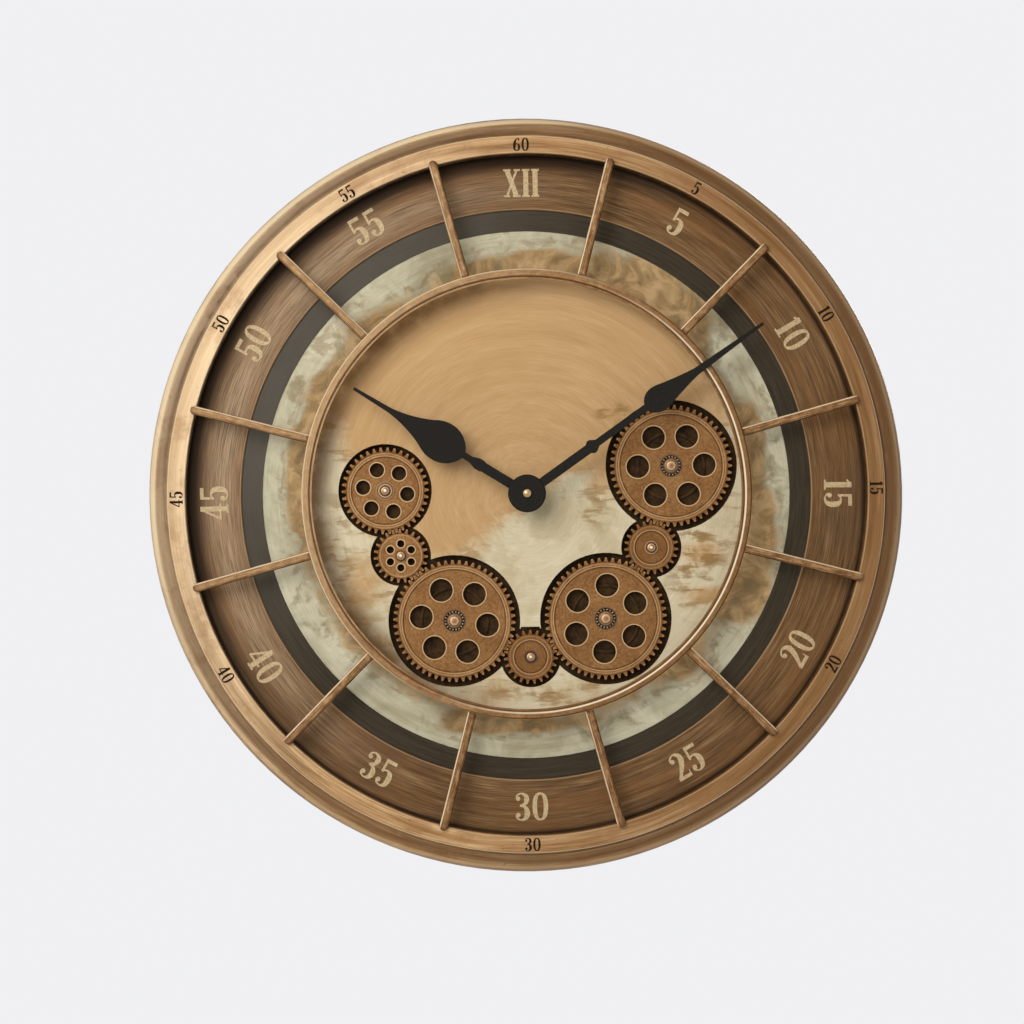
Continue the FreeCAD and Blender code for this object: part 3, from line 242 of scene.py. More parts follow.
# In every look, brushing has how fine it is across the strokes and along them, its detail and
# roughness. Noise has its scale, detail, roughness and warp. A line has its place and reach. An
# edge, a patch and a name with From have where the mask starts and where it is full. A wash has
# its paint and strength, and a spread or a relief its size and what is added or its strength.
bronzeRing = {
    "sockets": {"Metallic": 0.25, "Roughness": 0.42, "Specular IOR Level": 0.2},
    "strokes": (1300.0, 9.0, 4.0, 0.65),
    "broad": (210.0, 2.5, 2.0, 0.65),
    "broadShare": 0.55,
    "ground": (
        (0.36, (116, 80, 46)),
        (0.46, (158, 118, 74)),
        (0.55, (184, 144, 98)),
        (0.64, (214, 178, 132)),
    ),
    "towardsLight": {
        "pale": (0.28, 0.6, 1.05),
        "aged": (0.05, 0.1, 0.72),
        "furrow": (0.69, 0.8, 1.0),
        "crest": (0.69, 0.72, 0.88),
        "outerHalf": (0.5, 0.6, 1.0),
    },
    "worn": (30.0, 4.0, 0.65, 0.5, 0.68),
    "pits": (240.0, 3.0, 0.7, 0.62, 0.72),
    "backFrom": (-0.041, -0.034),
    "skirtFrom": (-0.046, -0.036),
    "edges": {
        "furrowStart": (clock["bandOuter"] + 0.0012, clock["bandOuter"] + 0.0030),
        "furrowEnd": (clock["bandOuter"] + 0.0070, clock["bandOuter"] + 0.0118),
        "bore": (clock["bandInner"] - 0.0002, clock["bandInner"] + 0.0002),
    },
    "lines": {
        "groove": (clock["bandOuter"] + 0.0014, 0.0016),
        "outerHalf": (clock["bandOuter"] - 0.0030, 0.0060),
        "crest": (clock["bandOuter"] + 0.0122, 0.0036),
        "outerEdge": (clock["bandOuter"] - 0.0001, 0.0010),
        "innerEdge": (clock["bandInner"] + 0.0010, 0.0010),
    },
    "furrowSpread": (0.2, 0.6),
    "crestSpread": (0.85, 0.45),
    "innerEdgeShare": 0.5,
    "brightFrom": (0.1, 1.0),
    "washes": {
        "pale": ((238, 214, 174), 0.52),
        "aged": ((116, 78, 38), 0.66),
        "worn": ((140, 96, 56), 0.45),
        "pits": ((84, 54, 30), 0.45),
        "furrow": ((74, 48, 24), 1.0),
        "groove": ((52, 31, 15), 0.6),
        "skirt": ((92, 62, 38), 0.75),
        "inside": ((40, 25, 14), 0.85),
        "outerHalf": ((160, 118, 70), 0.38),
        "bright": ((246, 222, 178), 0.6),
    },
    "rough": (0.35, 0.2),
    "relief": (0.00025, 0.3),
}


def paintBronzeRing():
    look = bronzeRing
    finish = Finish("bronzeRing", look)
    finish.around(hub)
    strokes = finish.brushed("strokes")
    tone = strokes.mixed(finish.brushed("broad"), look["broadShare"])
    finish.colour = finish.tones("ground", tone)
    # Painted light: paler towards the upper left, and painted shade on the side away from it.
    finish.lay("pale", finish.towardsLight("pale"))
    finish.lay("aged", 1 - finish.towardsLight("aged"))
    finish.lay("worn", finish.patches("worn"))
    finish.lay("pits", finish.patches("pits"))
    depth = finish.depth()
    front = 1 - depth.step(*look["backFrom"])
    # The furrow and the groove beside the bead: dark patina and painted shade, the furrow's stronger
    # towards the upper left.
    furrow = finish.outside("furrowStart") * (1 - finish.outside("furrowEnd")) * front
    finish.lay("furrow", furrow * finish.towardsLight("furrow").spread(*look["furrowSpread"]))
    finish.lay("groove", finish.line("groove") * front)
    finish.lay("skirt", depth.step(*look["skirtFrom"]))
    # Painted shade on the bore of the band.
    finish.lay("inside", 1 - finish.outside("bore"))
    # Painted shade: the outer half of the band darker towards the upper left.
    finish.lay("outerHalf", finish.line("outerHalf") * finish.towardsLight("outerHalf") * front)
    # Painted highlights on the band's outer and inner edges and on the bead's crest, the crest's
    # stronger towards the upper left.
    crest = finish.line("crest") * finish.towardsLight("crest").spread(*look["crestSpread"])
    bright = finish.line("outerEdge") + finish.line("innerEdge") * look["innerEdgeShare"] + crest
    finish.lay("bright", bright.step(*look["brightFrom"]) * front)
    return finish.done(tone, strokes)


brushedRing = {
    "sockets": {"Metallic": 0.15, "Roughness": 0.5, "Specular IOR Level": dull},
    "strokes": (1700.0, 9.0, 4.0, 0.65),
    "bands": (320.0, 3.0, 3.0, 0.65),
    "warm": (45.0, 2.2, 3.0, 0.6),
    "bandShare": 0.38,
    "ground": (
        (0.34, (70, 48, 27)),
        (0.46, (100, 73, 46)),
        (0.55, (122, 92, 60)),
        (0.67, (158, 125, 88)),
    ),
    "towardsLight": {"pale": (0.3, 0.5, 1.0), "shadow": (0.68, 0.35, 0.85)},
    "warmFrom": (0.42, 0.66),
    "dusk": (11.0, 3.0, 0.6, 0.48, 0.64),
    "liftStrokes": (0.38, 0.62),
    "liftSpread": (0.5, 0.14),
    "edges": {
        "shadow": (clock["chapterOuter"] - 0.017, clock["chapterOuter"] - 0.005),
        "corner": (clock["chapterOuter"] - 0.0042, clock["chapterOuter"] - 0.0006),
        "rim": (clock["chapterInner"], clock["chapterInner"] + 0.0006),
    },
    "lines": {
        "lift": (clock["chapterInner"] + 0.015, 0.019),
        "lip": (clock["chapterInner"] + 0.0008, 0.0009),
    },
    "washes": {
        "warm": ((126, 84, 46), 0.42),
        "dusk": ((76, 58, 44), 0.35),
        "pale": ((146, 126, 104), 0.18),
        "lift": ((186, 160, 128), 1.0),
        "shadow": ((26, 16, 8), 0.85),
        "lip": ((186, 152, 112), 0.6),
        "rim": ((50, 36, 26), 0.8),
    },
    "rough": (0.3, 0.3),
    "relief": (0.00025, 0.3),
}


def paintBrushedRing():
    look = brushedRing
    finish = Finish("brushedRing", look)
    finish.around(hub)
    strokes = finish.brushed("strokes")
    tone = strokes.mixed(finish.brushed("bands"), look["bandShare"])
    finish.colour = finish.tones("ground", tone)
    finish.lay("warm", finish.brushed("warm").step(*look["warmFrom"]))
    finish.lay("dusk", finish.patches("dusk"))
    # Painted light: paler towards the upper left, and lighter there near the inner edge, following the
    # strokes.
    pale = finish.towardsLight("pale")
    finish.lay("pale", pale)
    liftStreaks = strokes.step(*look["liftStrokes"]).spread(*look["liftSpread"])
    finish.lay("lift", finish.line("lift") * pale * liftStreaks)
    finish.lay("shadow", finish.outside("shadow") * finish.towardsLight("shadow"))
    finish.lay("shadow", finish.outside("corner"))
    # A painted highlight on the inner lip and painted shade on the inner edge.
    finish.lay("lip", finish.line("lip"))
    finish.lay("rim", 1 - finish.outside("rim"))
    return finish.done(tone, strokes)


darkRing = {
    "sockets": {"Roughness": 0.6, "Specular IOR Level": dull},
    "strokes": (500.0, 6.0, 4.0, 0.65),
    "ground": ((0.3, (50, 43, 32)), (0.7, (68, 59, 46))),
    "towardsLight": {"pale": (0.55, 0.6, 1.0)},
    "cloudScale": 14.0,
    "cloudSpread": (0.6, 0.3),
    "washes": {"pale": ((98, 92, 82), 1.0)},
    "relief": (0.0002, 0.25),
}


def paintDarkRing():
    finish = Finish("darkRing", darkRing)
    finish.around(hub)
    strokes = finish.brushed("strokes")
    finish.colour = finish.tones("ground", strokes)
    # Painted light: paler towards the upper left, in clouds.
    clouds = finish.noise(darkRing["cloudScale"]).spread(*darkRing["cloudSpread"])
    finish.lay("pale", finish.towardsLight("pale") * clouds)
    return finish.done(height=strokes)


# The dial plate. Its patches: x and z from the hands' axis, their reach each way, and how much
# brass they bring, or with a minus patina. The stains outside the grille's ring and the streaks
# are given in the same way.
dialPlate = {
    "sockets": {"Metallic": 0.18, "Roughness": 0.42, "Specular IOR Level": dull},
    "strokes": (900.0, 6.0, 4.0, 0.65),
    "swirl": (130.0, 1.5, 2.0, 0.65),
    "swirlShare": 0.45,
    "cloud": (20.0, 5.0, 0.65, 0.6),
    "curl": (42.0, 5.0, 0.6, 1.6),
    "smear": (30.0, 130.0, 4.0),
    "patches": {
        "inner": (
            (-0.005, 0.095, 0.165, 0.100, 1.1),
            (-0.075, 0.010, 0.060, 0.070, 0.75),
            (0.020, -0.055, 0.062, 0.045, -0.65),
            (0.050, 0.004, 0.040, 0.022, -0.45),
            (0.062, 0.006, 0.020, 0.016, 0.45),
            (-0.152, -0.010, 0.018, 0.070, -0.55),
            (-0.158, -0.035, 0.012, 0.014, 0.50),
            (-0.140, -0.070, 0.018, 0.022, 0.45),
            (0.135, -0.050, 0.026, 0.012, 0.50),
            (0.140, -0.082, 0.024, 0.010, 0.45),
            (0.000, -0.160, 0.090, 0.018, 0.25),
        ),
        "outer": (
            (0.085, 0.170, 0.055, 0.030, 0.62),
            (0.010, 0.190, 0.040, 0.012, 0.35),
            (-0.050, 0.180, 0.030, 0.012, 0.40),
            (-0.120, 0.140, 0.030, 0.016, 0.35),
            (-0.165, 0.090, 0.020, 0.022, 0.30),
            (-0.182, 0.020, 0.012, 0.060, 0.40),
            (0.130, 0.140, 0.030, 0.020, 0.60),
            (0.182, 0.045, 0.012, 0.040, 0.55),
            (0.190, -0.030, 0.014, 0.028, 0.70),
            (0.172, -0.078, 0.020, 0.026, 1.00),
            (0.125, -0.140, 0.022, 0.014, 0.40),
            (0.000, -0.186, 0.060, 0.008, 0.40),
            (-0.060, -0.182, 0.025, 0.010, 0.45),
        ),
        "streaked": (
            (0.134, -0.056, 0.026, 0.034, 1.0),
            (0.146, -0.010, 0.014, 0.020, 0.5),
            (-0.150, -0.030, 0.016, 0.050, 0.7),
            (0.070, 0.064, 0.014, 0.010, 1.2),
            (0.052, -0.014, 0.016, 0.020, 0.8),
            (0.072, 0.018, 0.010, 0.014, 0.8),
            (0.000, -0.158, 0.060, 0.010, 0.6),
        ),
    },
    # How much cloud, smear and curl break up the patches, and what comes off in return
    "broken": (0.8, 0.3, 0.5, 0.8),
    "brass": ((0.3, (174, 136, 90)), (0.5, (185, 148, 102)), (0.7, (196, 161, 116))),
    "cream": ((0.3, (190, 175, 140)), (0.7, (214, 201, 170))),
    "green": ((0.36, (152, 142, 114)), (0.5, (182, 174, 146)), (0.64, (204, 196, 168))),
    "brown": ((0.36, (112, 84, 46)), (0.49, (146, 112, 66)), (0.62, (176, 142, 96))),
    "brassFrom": (0.05, 0.5),
    "stainAt": (0.62, 0.09),
    "stainOn": (0.25, 0.3),
    "dabShares": (0.7, 0.5),
    "dabFrom": (0.56, 0.68),
    "dabOn": (0.15, 0.8),
    "cloudedFrom": (0.5, 0.64),
    "cloudedOff": (0.3, 0.7),
    "edgeNoise": (35.0, 4.0, 0.6, 0.3, 0.6),
    "edgeSpread": (0.4, 0.6),
    "towardsLight": {"edge": (0.1, 0.4, 0.8)},
    "greenCloudShare": 0.6,
    "nearRingShare": 0.42,
    "brownFrom": (0.2, 0.54),
    "brownShare": 0.88,
    "rimmedAt": (0.22, 0.14),
    "rimmedFrom": (0.42, 0.6),
    "smudge": (30.0, 5.0, 0.6, 1.2, 0.53, 0.64),
    "smudgeOn": (0.15, 0.25),
    "lines": {"edge": (clock["ringInner"], 0.028), "nearRing": (clock["ringOuter"], 0.022)},
    "edges": {"ring": (clock["ringInner"], clock["ringOuter"])},
    "washes": {
        "stains": ((136, 100, 56), 0.55),
        "dabs": ((132, 100, 52), 0.7),
        "clouded": ((164, 140, 98), 0.35),
        "edge": ((94, 61, 28), 0.9),
        "rimmed": ((112, 84, 44), 0.5),
        "smudge": ((122, 112, 80), 0.55),
    },
    "rough": (0.25, 0.3),
    "relief": (0.00012, 0.2),
}


def paintDialPlate():
    look = dialPlate
    finish = Finish("dialPlate", look)
    finish.around(hub)
    x, _, z = finish.place.node("SeparateXYZ", {}, {0: finish.place}, None)
    high = z - clock["axisHeight"]
    strokes = finish.brushed("strokes")
    cloud, curl = finish.noise(*look["cloud"]), finish.noise(*look["curl"])
    smearAcross, smearUp, smearDetail = look["smear"]
    smear = finish.noiseAt(x * smearAcross, 0.0, high * smearUp, smearDetail)
    cloudShare, smearShare, curlShare, offset = look["broken"]
    levels = {}
    for part, patches in look["patches"].items():
        level = x * 0.0
        if part != "streaked":
            level = cloud * cloudShare + smear * smearShare + curl * curlShare - offset
        for px, pz, reachX, reachZ, amount in patches:
            away = ((x - px) / reachX) ** 2.0 + ((high - pz) / reachZ) ** 2.0
            level = level + finish.start.maths("EXPONENT", 0 - away) * amount
        levels[part] = level

    # Inside the grille's ring: brass over cream, with stains, dabs and the ring's painted shadow along
    # its edge
    sheen = strokes.mixed(finish.brushed("swirl"), look["swirlShare"])
    brass = finish.tones("brass", sheen)
    finish.colour = finish.tones("cream", sheen).blend(brass, levels["inner"].step(*look["brassFrom"]))
    finish.lay("stains", smear.near(*look["stainAt"]) * levels["inner"].near(*look["stainOn"]))
    smearDab, curlDab = look["dabShares"]
    dabs = (smear * smearDab + curl * curlDab).step(*look["dabFrom"])
    finish.lay("dabs", dabs * levels["streaked"].step(*look["dabOn"]))
    bare = 1 - levels["inner"].step(*look["cloudedOff"])
    finish.lay("clouded", cloud.step(*look["cloudedFrom"]) * bare)
    # The ring's painted shadow on the plate, broken by noise and strongest towards the left.
    edge = finish.line("edge") * finish.patches("edgeNoise").spread(*look["edgeSpread"])
    finish.lay("edge", edge * finish.towardsLight("edge"))
    centre = finish.colour

    # Outside it: green patina under brown stains with darker rims
    finish.colour = finish.tones("green", sheen.mixed(cloud, look["greenCloudShare"]))
    stained = levels["outer"] + finish.line("nearRing") * look["nearRingShare"]
    brown = finish.tones("brown", curl)
    finish.colour = finish.colour.blend(brown, stained.step(*look["brownFrom"]) * look["brownShare"])
    finish.lay("rimmed", stained.near(*look["rimmedAt"]) * curl.step(*look["rimmedFrom"]))
    finish.lay("smudge", finish.patches("smudge") * levels["outer"].near(*look["smudgeOn"]))
    finish.colour = centre.blend(finish.colour, finish.outside("ring"))
    return finish.done(strokes, strokes)


# The grille's bars. Across a bar the places are distances from its middle line.
grilleBars = {
    "sockets": {"Metallic": 0.28, "Roughness": 0.36, "Specular IOR Level": dull},
    "bars": 12,
    "strokes": (1500.0, 60.0, 3.0, 4.0),
    "mottle": (160.0, 4.0, 0.7),
    "mottleShare": 0.4,
    "ground": ((0.36, (90, 60, 34)), (0.48, (128, 91, 56)), (0.62, (184, 144, 100))),
    "towardsLight": {"pale": (0.42, 0.5, 1.0)},
    "lightFrom": (0.92, 0.4),
    "lightReach": 400.0,
    "litFrom": (0.0, 0.25),
    "darkFrom": (0.0, 0.2),
    "bevelLine": (0.0019, 0.0005),
    "brightLine": (0.0027, 0.0008),
    "darkSide": (0.0027, 0.0033),
    "outline": (0.0033, 0.0035),
    "lines": {"end": (clock["bandInner"] + 0.002, 0.004)},
    "washes": {
        "pale": ((200, 166, 122), 0.2),
        "bevel": ((90, 58, 32), 0.4),
        "bright": ((255, 232, 192), 0.9),
        "dark": ((36, 21, 10), 0.85),
        "outline": ((48, 29, 15), 0.6),
        "end": ((92, 60, 34), 0.35),
    },
    "rough": (0.3, 0.2),
    "relief": (0.0002, 0.3),
}


def paintGrilleBars():
    look = grilleBars
    finish = Finish("grilleBars", look)
    finish.around(hub)
    maths = finish.start.maths
    turn = maths("ARCTAN2", finish.up, finish.across) * (look["bars"] / (2 * math.pi))
    slant = (maths("FRACT", turn + look["bars"]) - 0.5) * (2 * math.pi / look["bars"])
    aside = maths("SINE", slant) * finish.reach
    fine, along, step, detail = look["strokes"]
    strokes = finish.noiseAt(aside * fine, finish.reach * along, maths("FLOOR", turn) * step, detail)
    tone = strokes.mixed(finish.noise(*look["mottle"]), look["mottleShare"])
    finish.colour = finish.tones("ground", tone)
    # Painted light: paler towards the upper left.
    finish.lay("pale", finish.towardsLight("pale"))
    away = maths("ABSOLUTE", aside)
    lightAcross, lightUp = look["lightFrom"]
    lit = aside * (finish.up * lightUp + finish.across * lightAcross) * look["lightReach"]
    # Painted shade along the bevel, a painted highlight on the side towards the light, painted shade on
    # the side away from it, and a painted contact shadow along both edges.
    finish.lay("bevel", away.near(*look["bevelLine"]))
    finish.lay("bright", away.near(*look["brightLine"]) * lit.step(*look["litFrom"]))
    finish.lay("dark", away.step(*look["darkSide"]) * (0 - lit).step(*look["darkFrom"]))
    finish.lay("outline", away.step(*look["outline"]))
    finish.lay("end", finish.line("end"))
    return finish.done(strokes, strokes)


grilleRing = {
    "sockets": {"Metallic": 0.28, "Roughness": 0.34, "Specular IOR Level": dull},
    "strokes": (1300.0, 8.0, 4.0, 0.65),
    "mottle": (170.0, 4.0, 0.7),
    "mottleShare": 0.45,
    "ground": ((0.32, (98, 66, 38)), (0.48, (138, 99, 62)), (0.68, (182, 142, 98))),
    "towardsLight": {
        "pale": (0.42, 0.5, 1.0),
        "aged": (0.42, 0.1, 0.6),
        "outerBright": (0.42, 0.3, 0.8),
        "innerBright": (0.42, 0.15, 0.6),
        "outerDark": (0.42, 0.2, 0.7),
    },
    "lines": {
        "outer": (clock["ringOuter"] - 0.0002, 0.0012),
        "inner": (clock["ringInner"] + 0.0010, 0.0012),
        "seam": (clock["ringInner"] - 0.0002, 0.0008),
    },
    "washes": {
        "pale": ((222, 192, 146), 0.25),
        "aged": ((112, 74, 40), 0.4),
        "outerBright": ((254, 230, 190), 0.8),
        "innerBright": ((255, 238, 202), 0.95),
        "outerDark": ((66, 42, 24), 0.6),
        "seam": ((62, 40, 24), 0.75),
    },
    "rough": (0.3, 0.18),
    "relief": (0.0002, 0.3),
}


def paintGrilleRing():
    look = grilleRing
    finish = Finish("grilleRing", look)
    finish.around(hub)
    strokes = finish.brushed("strokes")
    tone = strokes.mixed(finish.noise(*look["mottle"]), look["mottleShare"])
    finish.colour = finish.tones("ground", tone)
    # Painted light and shade: paler towards the upper left and darker away from it, painted highlights
    # on the outer edge towards the light and on the inner edge away from it, and painted shade on the
    # outer edge away from the light and just inside the inner edge.
    outer = finish.line("outer")
    finish.lay("pale", finish.towardsLight("pale"))
    finish.lay("aged", 1 - finish.towardsLight("aged"))
    finish.lay("outerBright", outer * finish.towardsLight("outerBright"))
    finish.lay("innerBright", finish.line("inner") * (1 - finish.towardsLight("innerBright")))
    finish.lay("outerDark", outer * (1 - finish.towardsLight("outerDark")))
    finish.lay("seam", finish.line("seam"))
    return finish.done(strokes, strokes)


# The gears' copper: each line is a distance from the tips, the roots, the rim or a hole's edge.
copper = {
    "sockets": {"Metallic": 0.25, "Roughness": 0.42, "Specular IOR Level": dull},
    "module": 0.00175,
    "addendum": 0.8,
    "dedendum": 1.1,
    "grain": (520.0, 4.0, 0.7),
    "turned": (1400.0, 8.0, 4.0, 0.65),
    "worn": (55.0, 3.0),
    "shares": (0.35, 0.4, 0.25),
    "ground": (
        (0.34, (98, 63, 33)),
        (0.46, (128, 88, 50)),
        (0.56, (148, 107, 65)),
        (0.68, (184, 144, 98)),
    ),
    "tipLine": (-0.0016, -0.0003),
    "rootLine": (-0.0002, 0.0009),
    "underRootLine": (-0.0016, 0.0007),
    "backFrom": (-0.0318, -0.0306),
    "rimDark": (-0.0005, 0.0009),
    "rimBright": (0.0006, 0.0006),
    "holeCount": 6,
    "holeBright": (0.0003, 0.0009),
    "holeDark": (0.0015, 0.0007),
    "washes": {
        "tips": ((190, 152, 108), 0.45),
        "roots": ((74, 46, 24), 0.6),
        "underRoots": ((206, 170, 124), 0.4),
        "back": ((78, 50, 28), 0.75),
        "pinion": ((100, 62, 30), 0.4),
        "rimDark": ((76, 48, 26), 0.75),
        "rimBright": ((218, 184, 138), 0.5),
        "holeBright": ((228, 196, 150), 0.6),
        "holeDark": ((98, 66, 38), 0.3),
    },
    "rough": (0.4, 0.2),
    "relief": (0.00012, 0.25),
}


def paintGear(name, gear):
    look = copper
    finish = Finish(name + "Copper", look)
    finish.around(gear["centre"])
    maths = finish.start.maths

    # 1 on a line at a place's distance from an edge
    def beside(wire, edge, line):
        place, reach = look[line]
        return wire.near(edge + place, reach)

    tip = (gear["teeth"] / 2 + look["addendum"]) * look["module"]
    root = (gear["teeth"] / 2 - look["dedendum"]) * look["module"]
    turned = finish.brushed("turned")
    grainShare, turnedShare, wornShare = look["shares"]
    tone = finish.noise(*look["grain"]) * grainShare + turned * turnedShare
    tone = tone + finish.noise(*look["worn"]) * wornShare
    finish.colour = finish.tones("ground", tone)
    # A painted highlight on the tooth tips and just inside the root circle, and painted shade in the
    # roots.
    tipStart, tipEnd = look["tipLine"]
    finish.lay("tips", finish.reach.step(tip + tipStart, tip + tipEnd))
    finish.lay("roots", beside(finish.reach, root, "rootLine"))
    finish.lay("underRoots", beside(finish.reach, root, "underRootLine"))
    finish.lay("back", finish.depth().step(*look["backFrom"]))
    if gear["holes"] is None:
        finish.lay("pinion")
    # Painted shade and a painted highlight beside the rim's step.
    if gear["rim"]:
        finish.lay("rimDark", beside(finish.reach, gear["rim"], "rimDark"))
        finish.lay("rimBright", beside(finish.reach, gear["rim"], "rimBright"))
    if gear["holes"]:
        radius, circle, turn = gear["holes"]
        count = look["holeCount"]
        angle = maths("ARCTAN2", finish.up, finish.across) - math.radians(turn)
        fold = maths("FRACT", angle * (count / (2 * math.pi)) + (2 * count + 0.5)) - 0.5
        fold = fold * (2 * math.pi / count)
        far = maths("COSINE", fold) * finish.reach - circle
        aside = maths("SINE", fold) * finish.reach
        hole = (far * far + aside * aside) ** 0.5
        # A painted highlight round each hole, and a darker ring beyond it.
        finish.lay("holeBright", beside(hole, radius, "holeBright"))
        finish.lay("holeDark", beside(hole, radius, "holeDark"))
    return finish.done(tone, turned)


# Washers and screw heads: rings of tone out from the nearest post's axis, whose light rings, and the
# light centre of the ball screws, are painted highlights, and a domed relief.
screwLook = {
    "sockets": {"Metallic": 0.5, "Roughness": 0.42},
    "rings": 0.008,
    "grain": 700.0,
    "grainShare": 0.06,
    "relief": (0.0008, 0.8),
}
darkWashers = {
    **screwLook,
    "dome": 0.02,
    "ground": (
        (0.30, (60, 38, 22)), (0.42, (92, 62, 38)), (0.55, (70, 46, 28)), (0.62, (190, 152, 106)),
        (0.72, (84, 56, 34)), (0.84, (110, 78, 50)), (0.92, (200, 164, 118)),
    ),
}
ballScrews = {
    **screwLook,
    "dome": 0.0030,
    "ground": (
        (0.0, (246, 232, 208)), (0.12, (216, 190, 152)), (0.20, (104, 74, 48)),
        (0.27, (150, 112, 76)), (0.35, (188, 150, 108)), (0.41, (70, 46, 28)),
    ),
}
domedCaps = {
    **screwLook,
    "sockets": {"Metallic": 0.5, "Roughness": 0.55},
    "dome": 0.0075,
    "ground": (
        (0.0, (118, 84, 52)), (0.20, (146, 108, 70)), (0.38, (206, 168, 122)), (0.48, (98, 66, 38)),
        (0.62, (150, 112, 74)),
    ),
}


def paintScrews(name, look, posts):
    finish = Finish(name, look)
    nearest = None
    for post in posts:
        finish.around(gears[post]["centre"])
        reach = finish.reach
        nearest = reach if nearest is None else reach.maths("MINIMUM", nearest, reach)
    grain = (finish.noise(look["grain"]) - 0.5) * look["grainShare"]
    finish.colour = finish.tones("ground", nearest * (1 / look["rings"]) + grain)
    height = 1 - (nearest / look["dome"]) ** 2.0
    return finish.done(height=height.maths("MAXIMUM", height, 0.0))


fibreboard = {
    "sockets": {"Roughness": 0.75},
    "fibres": (900.0, 5.0, 0.75),
    "clouds": (40.0, 3.0),
    "cloudShare": 0.3,
    "raw": ((0.3, (122, 92, 62)), (0.5, (158, 124, 88)), (0.72, (188, 156, 118))),
    "stained": ((0.3, (32, 23, 13)), (0.7, (60, 44, 27))),
    "backFrom": (-0.0330, -0.0252),
    "relief": (0.0003, 0.4),
}


# Raw board at the back, stained dark on the front, where the windows show it.
def paintBoard():
    finish = Finish("fibreboard", fibreboard)
    fibres = finish.noise(*fibreboard["fibres"])
    tone = fibres.mixed(finish.noise(*fibreboard["clouds"]), fibreboard["cloudShare"])
    front = 1 - finish.depth().step(*fibreboard["backFrom"])
    finish.colour = finish.tones("raw", tone).blend(finish.tones("stained", tone), front)
    return finish.done(height=fibres)


# What the plain finishes share: where the grain's hollows and heights are, and how far the
# roughness follows it.
grainLook = {"detail": 4.0, "rough": 0.65, "hollows": 0.32, "heights": 0.68, "follows": 0.2, "bump": 0.3}


# A plain finish with a grain: the colours of its hollows and its heights.
def grained(name, low, high, scale, metallic, roughness, depth=0.0001, specular=None):
    follows = grainLook["follows"]
    look = {
        "sockets": {"Metallic": metallic, "Roughness": roughness},
        "ground": ((grainLook["hollows"], low), (grainLook["heights"], high)),
        "rough": (follows, roughness - follows / 2),
        "relief": (depth, grainLook["bump"]),
    }
    if specular is not None:
        look["sockets"]["Specular IOR Level"] = specular
    finish = Finish(name, look)
    grain = finish.noise(scale, grainLook["detail"], grainLook["rough"])
    finish.colour = finish.tones("ground", grain)
    return finish.done(grain, grain)


finishes = {
    "bronzeRing": paintBronzeRing(),
    "brushedRing": paintBrushedRing(),
    "darkRing": paintDarkRing(),
    "dialPlate": paintDialPlate(),
    "grilleBars": paintGrilleBars(),
    "grilleRing": paintGrilleRing(),
    "board": paintBoard(),
    "bridge": grained("bridgeLacquer", (34, 24, 12), (78, 55, 30), 120.0, 0.1, 0.5, specular=dull),
    "hand": grained("handLacquer", (27, 25, 21), (40, 37, 32), 900.0, 0.0, 0.6, specular=dull),
    "steel": grained("brightSteel", (150, 138, 120), (205, 194, 174), 700.0, 0.85, 0.3),
    "brass": grained("oldBrass", (148, 116, 74), (206, 176, 128), 500.0, 0.7, 0.32),
    "race": grained("raceShadow", (66, 46, 30), (104, 78, 54), 500.0, 0.4, 0.4),
    "washers": paintScrews("darkWashers", darkWashers, ("gear_1", "gear_2", "gear_6")),
    "screws": paintScrews("ballScrews", ballScrews, gears),
    "caps": paintScrews("domedCaps", domedCaps, gears),
    "housing": grained("blackPlastic", (22, 22, 23), (38, 38, 39), 1400.0, 0.0, 0.5, 0.0002),
    "slider": grained("palePlastic", (196, 193, 184), (216, 213, 204), 900.0, 0.0, 0.45),
    "cell": grained("cellSleeve", (58, 66, 74), (84, 94, 102), 120.0, 0.3, 0.3, 0.00003),
    "numeralCream": grained("numeralCream", (156, 128, 88), (208, 184, 138), 900.0, 0.1, 0.55),
    "numeralBrown": grained("numeralBrown", (20, 12, 8), (44, 28, 16), 900.0, 0.0, 0.6, specular=dull),
}
nodeFinish = {
    "case_ring": "bronzeRing",
    "back_board": "board",
    "chapter_ring": "brushedRing",
    "dark_ring": "darkRing",
    "dial_plate": "dialPlate",
    "inner_ring": "grilleRing",
    "gear_bridge": "bridge",
    "movement_case": "housing",
    "drive_case": "housing",
    "setting_knob": "housing",
    "drive_switch": "slider",
    "movement_cell": "cell",
    "drive_cells": "cell",
    "hour_hand": "hand",
    "minute_hand": "hand",
    "hand_nut": "brass",
    "bushing_nut": "brass",
    "bushing_washer": "brass",
    "movement_bushing": "brass",
    "hour_tube": "brass",
    "minute_arbor": "brass",
    "post_washers": "washers",
    "post_screws": "screws",
    "shaft_screw": "screws",
    "bearing_caps": "caps",
    "bearing_inner_races": "race",
    "gear_3_balls": "brass",
    "gear_5_balls": "brass",
    "gear_7_balls": "brass",
}
# A node that isn't in the table is of plain steel.
for name, node in nodes.items():
    if name in gears:
        made = paintGear(name, gears[name])
    elif name.startswith("spoke_"):
        made = finishes["grilleBars"]
    elif name.endswith("_outer_race"):
        made = finishes["race"]
    else:
        made = finishes[nodeFinish.get(name, "steel")]
    node.data.materials.clear()
    node.data.materials.append(made)
print("finishes on", len(nodes), "nodes")


# Numerals: each stroke is a ribbon along stations of x, y and half width, in heights of the figure.
drawing = {
    "dotStations": 9,
    "dotReach": 0.98,
    "loopStations": 41,
    "loopPower": 2.4,
    "curveSteps": 8,
    "serif": 0.0325,
}


# A round dot as stations across it.
def dot(x, y, radius):
    count, reach = drawing["dotStations"], drawing["dotReach"]
    away = np.linspace(-reach, reach, count) * radius
    return np.stack([x + away, np.full(count, y), np.sqrt(radius**2 - away**2)], axis=1)


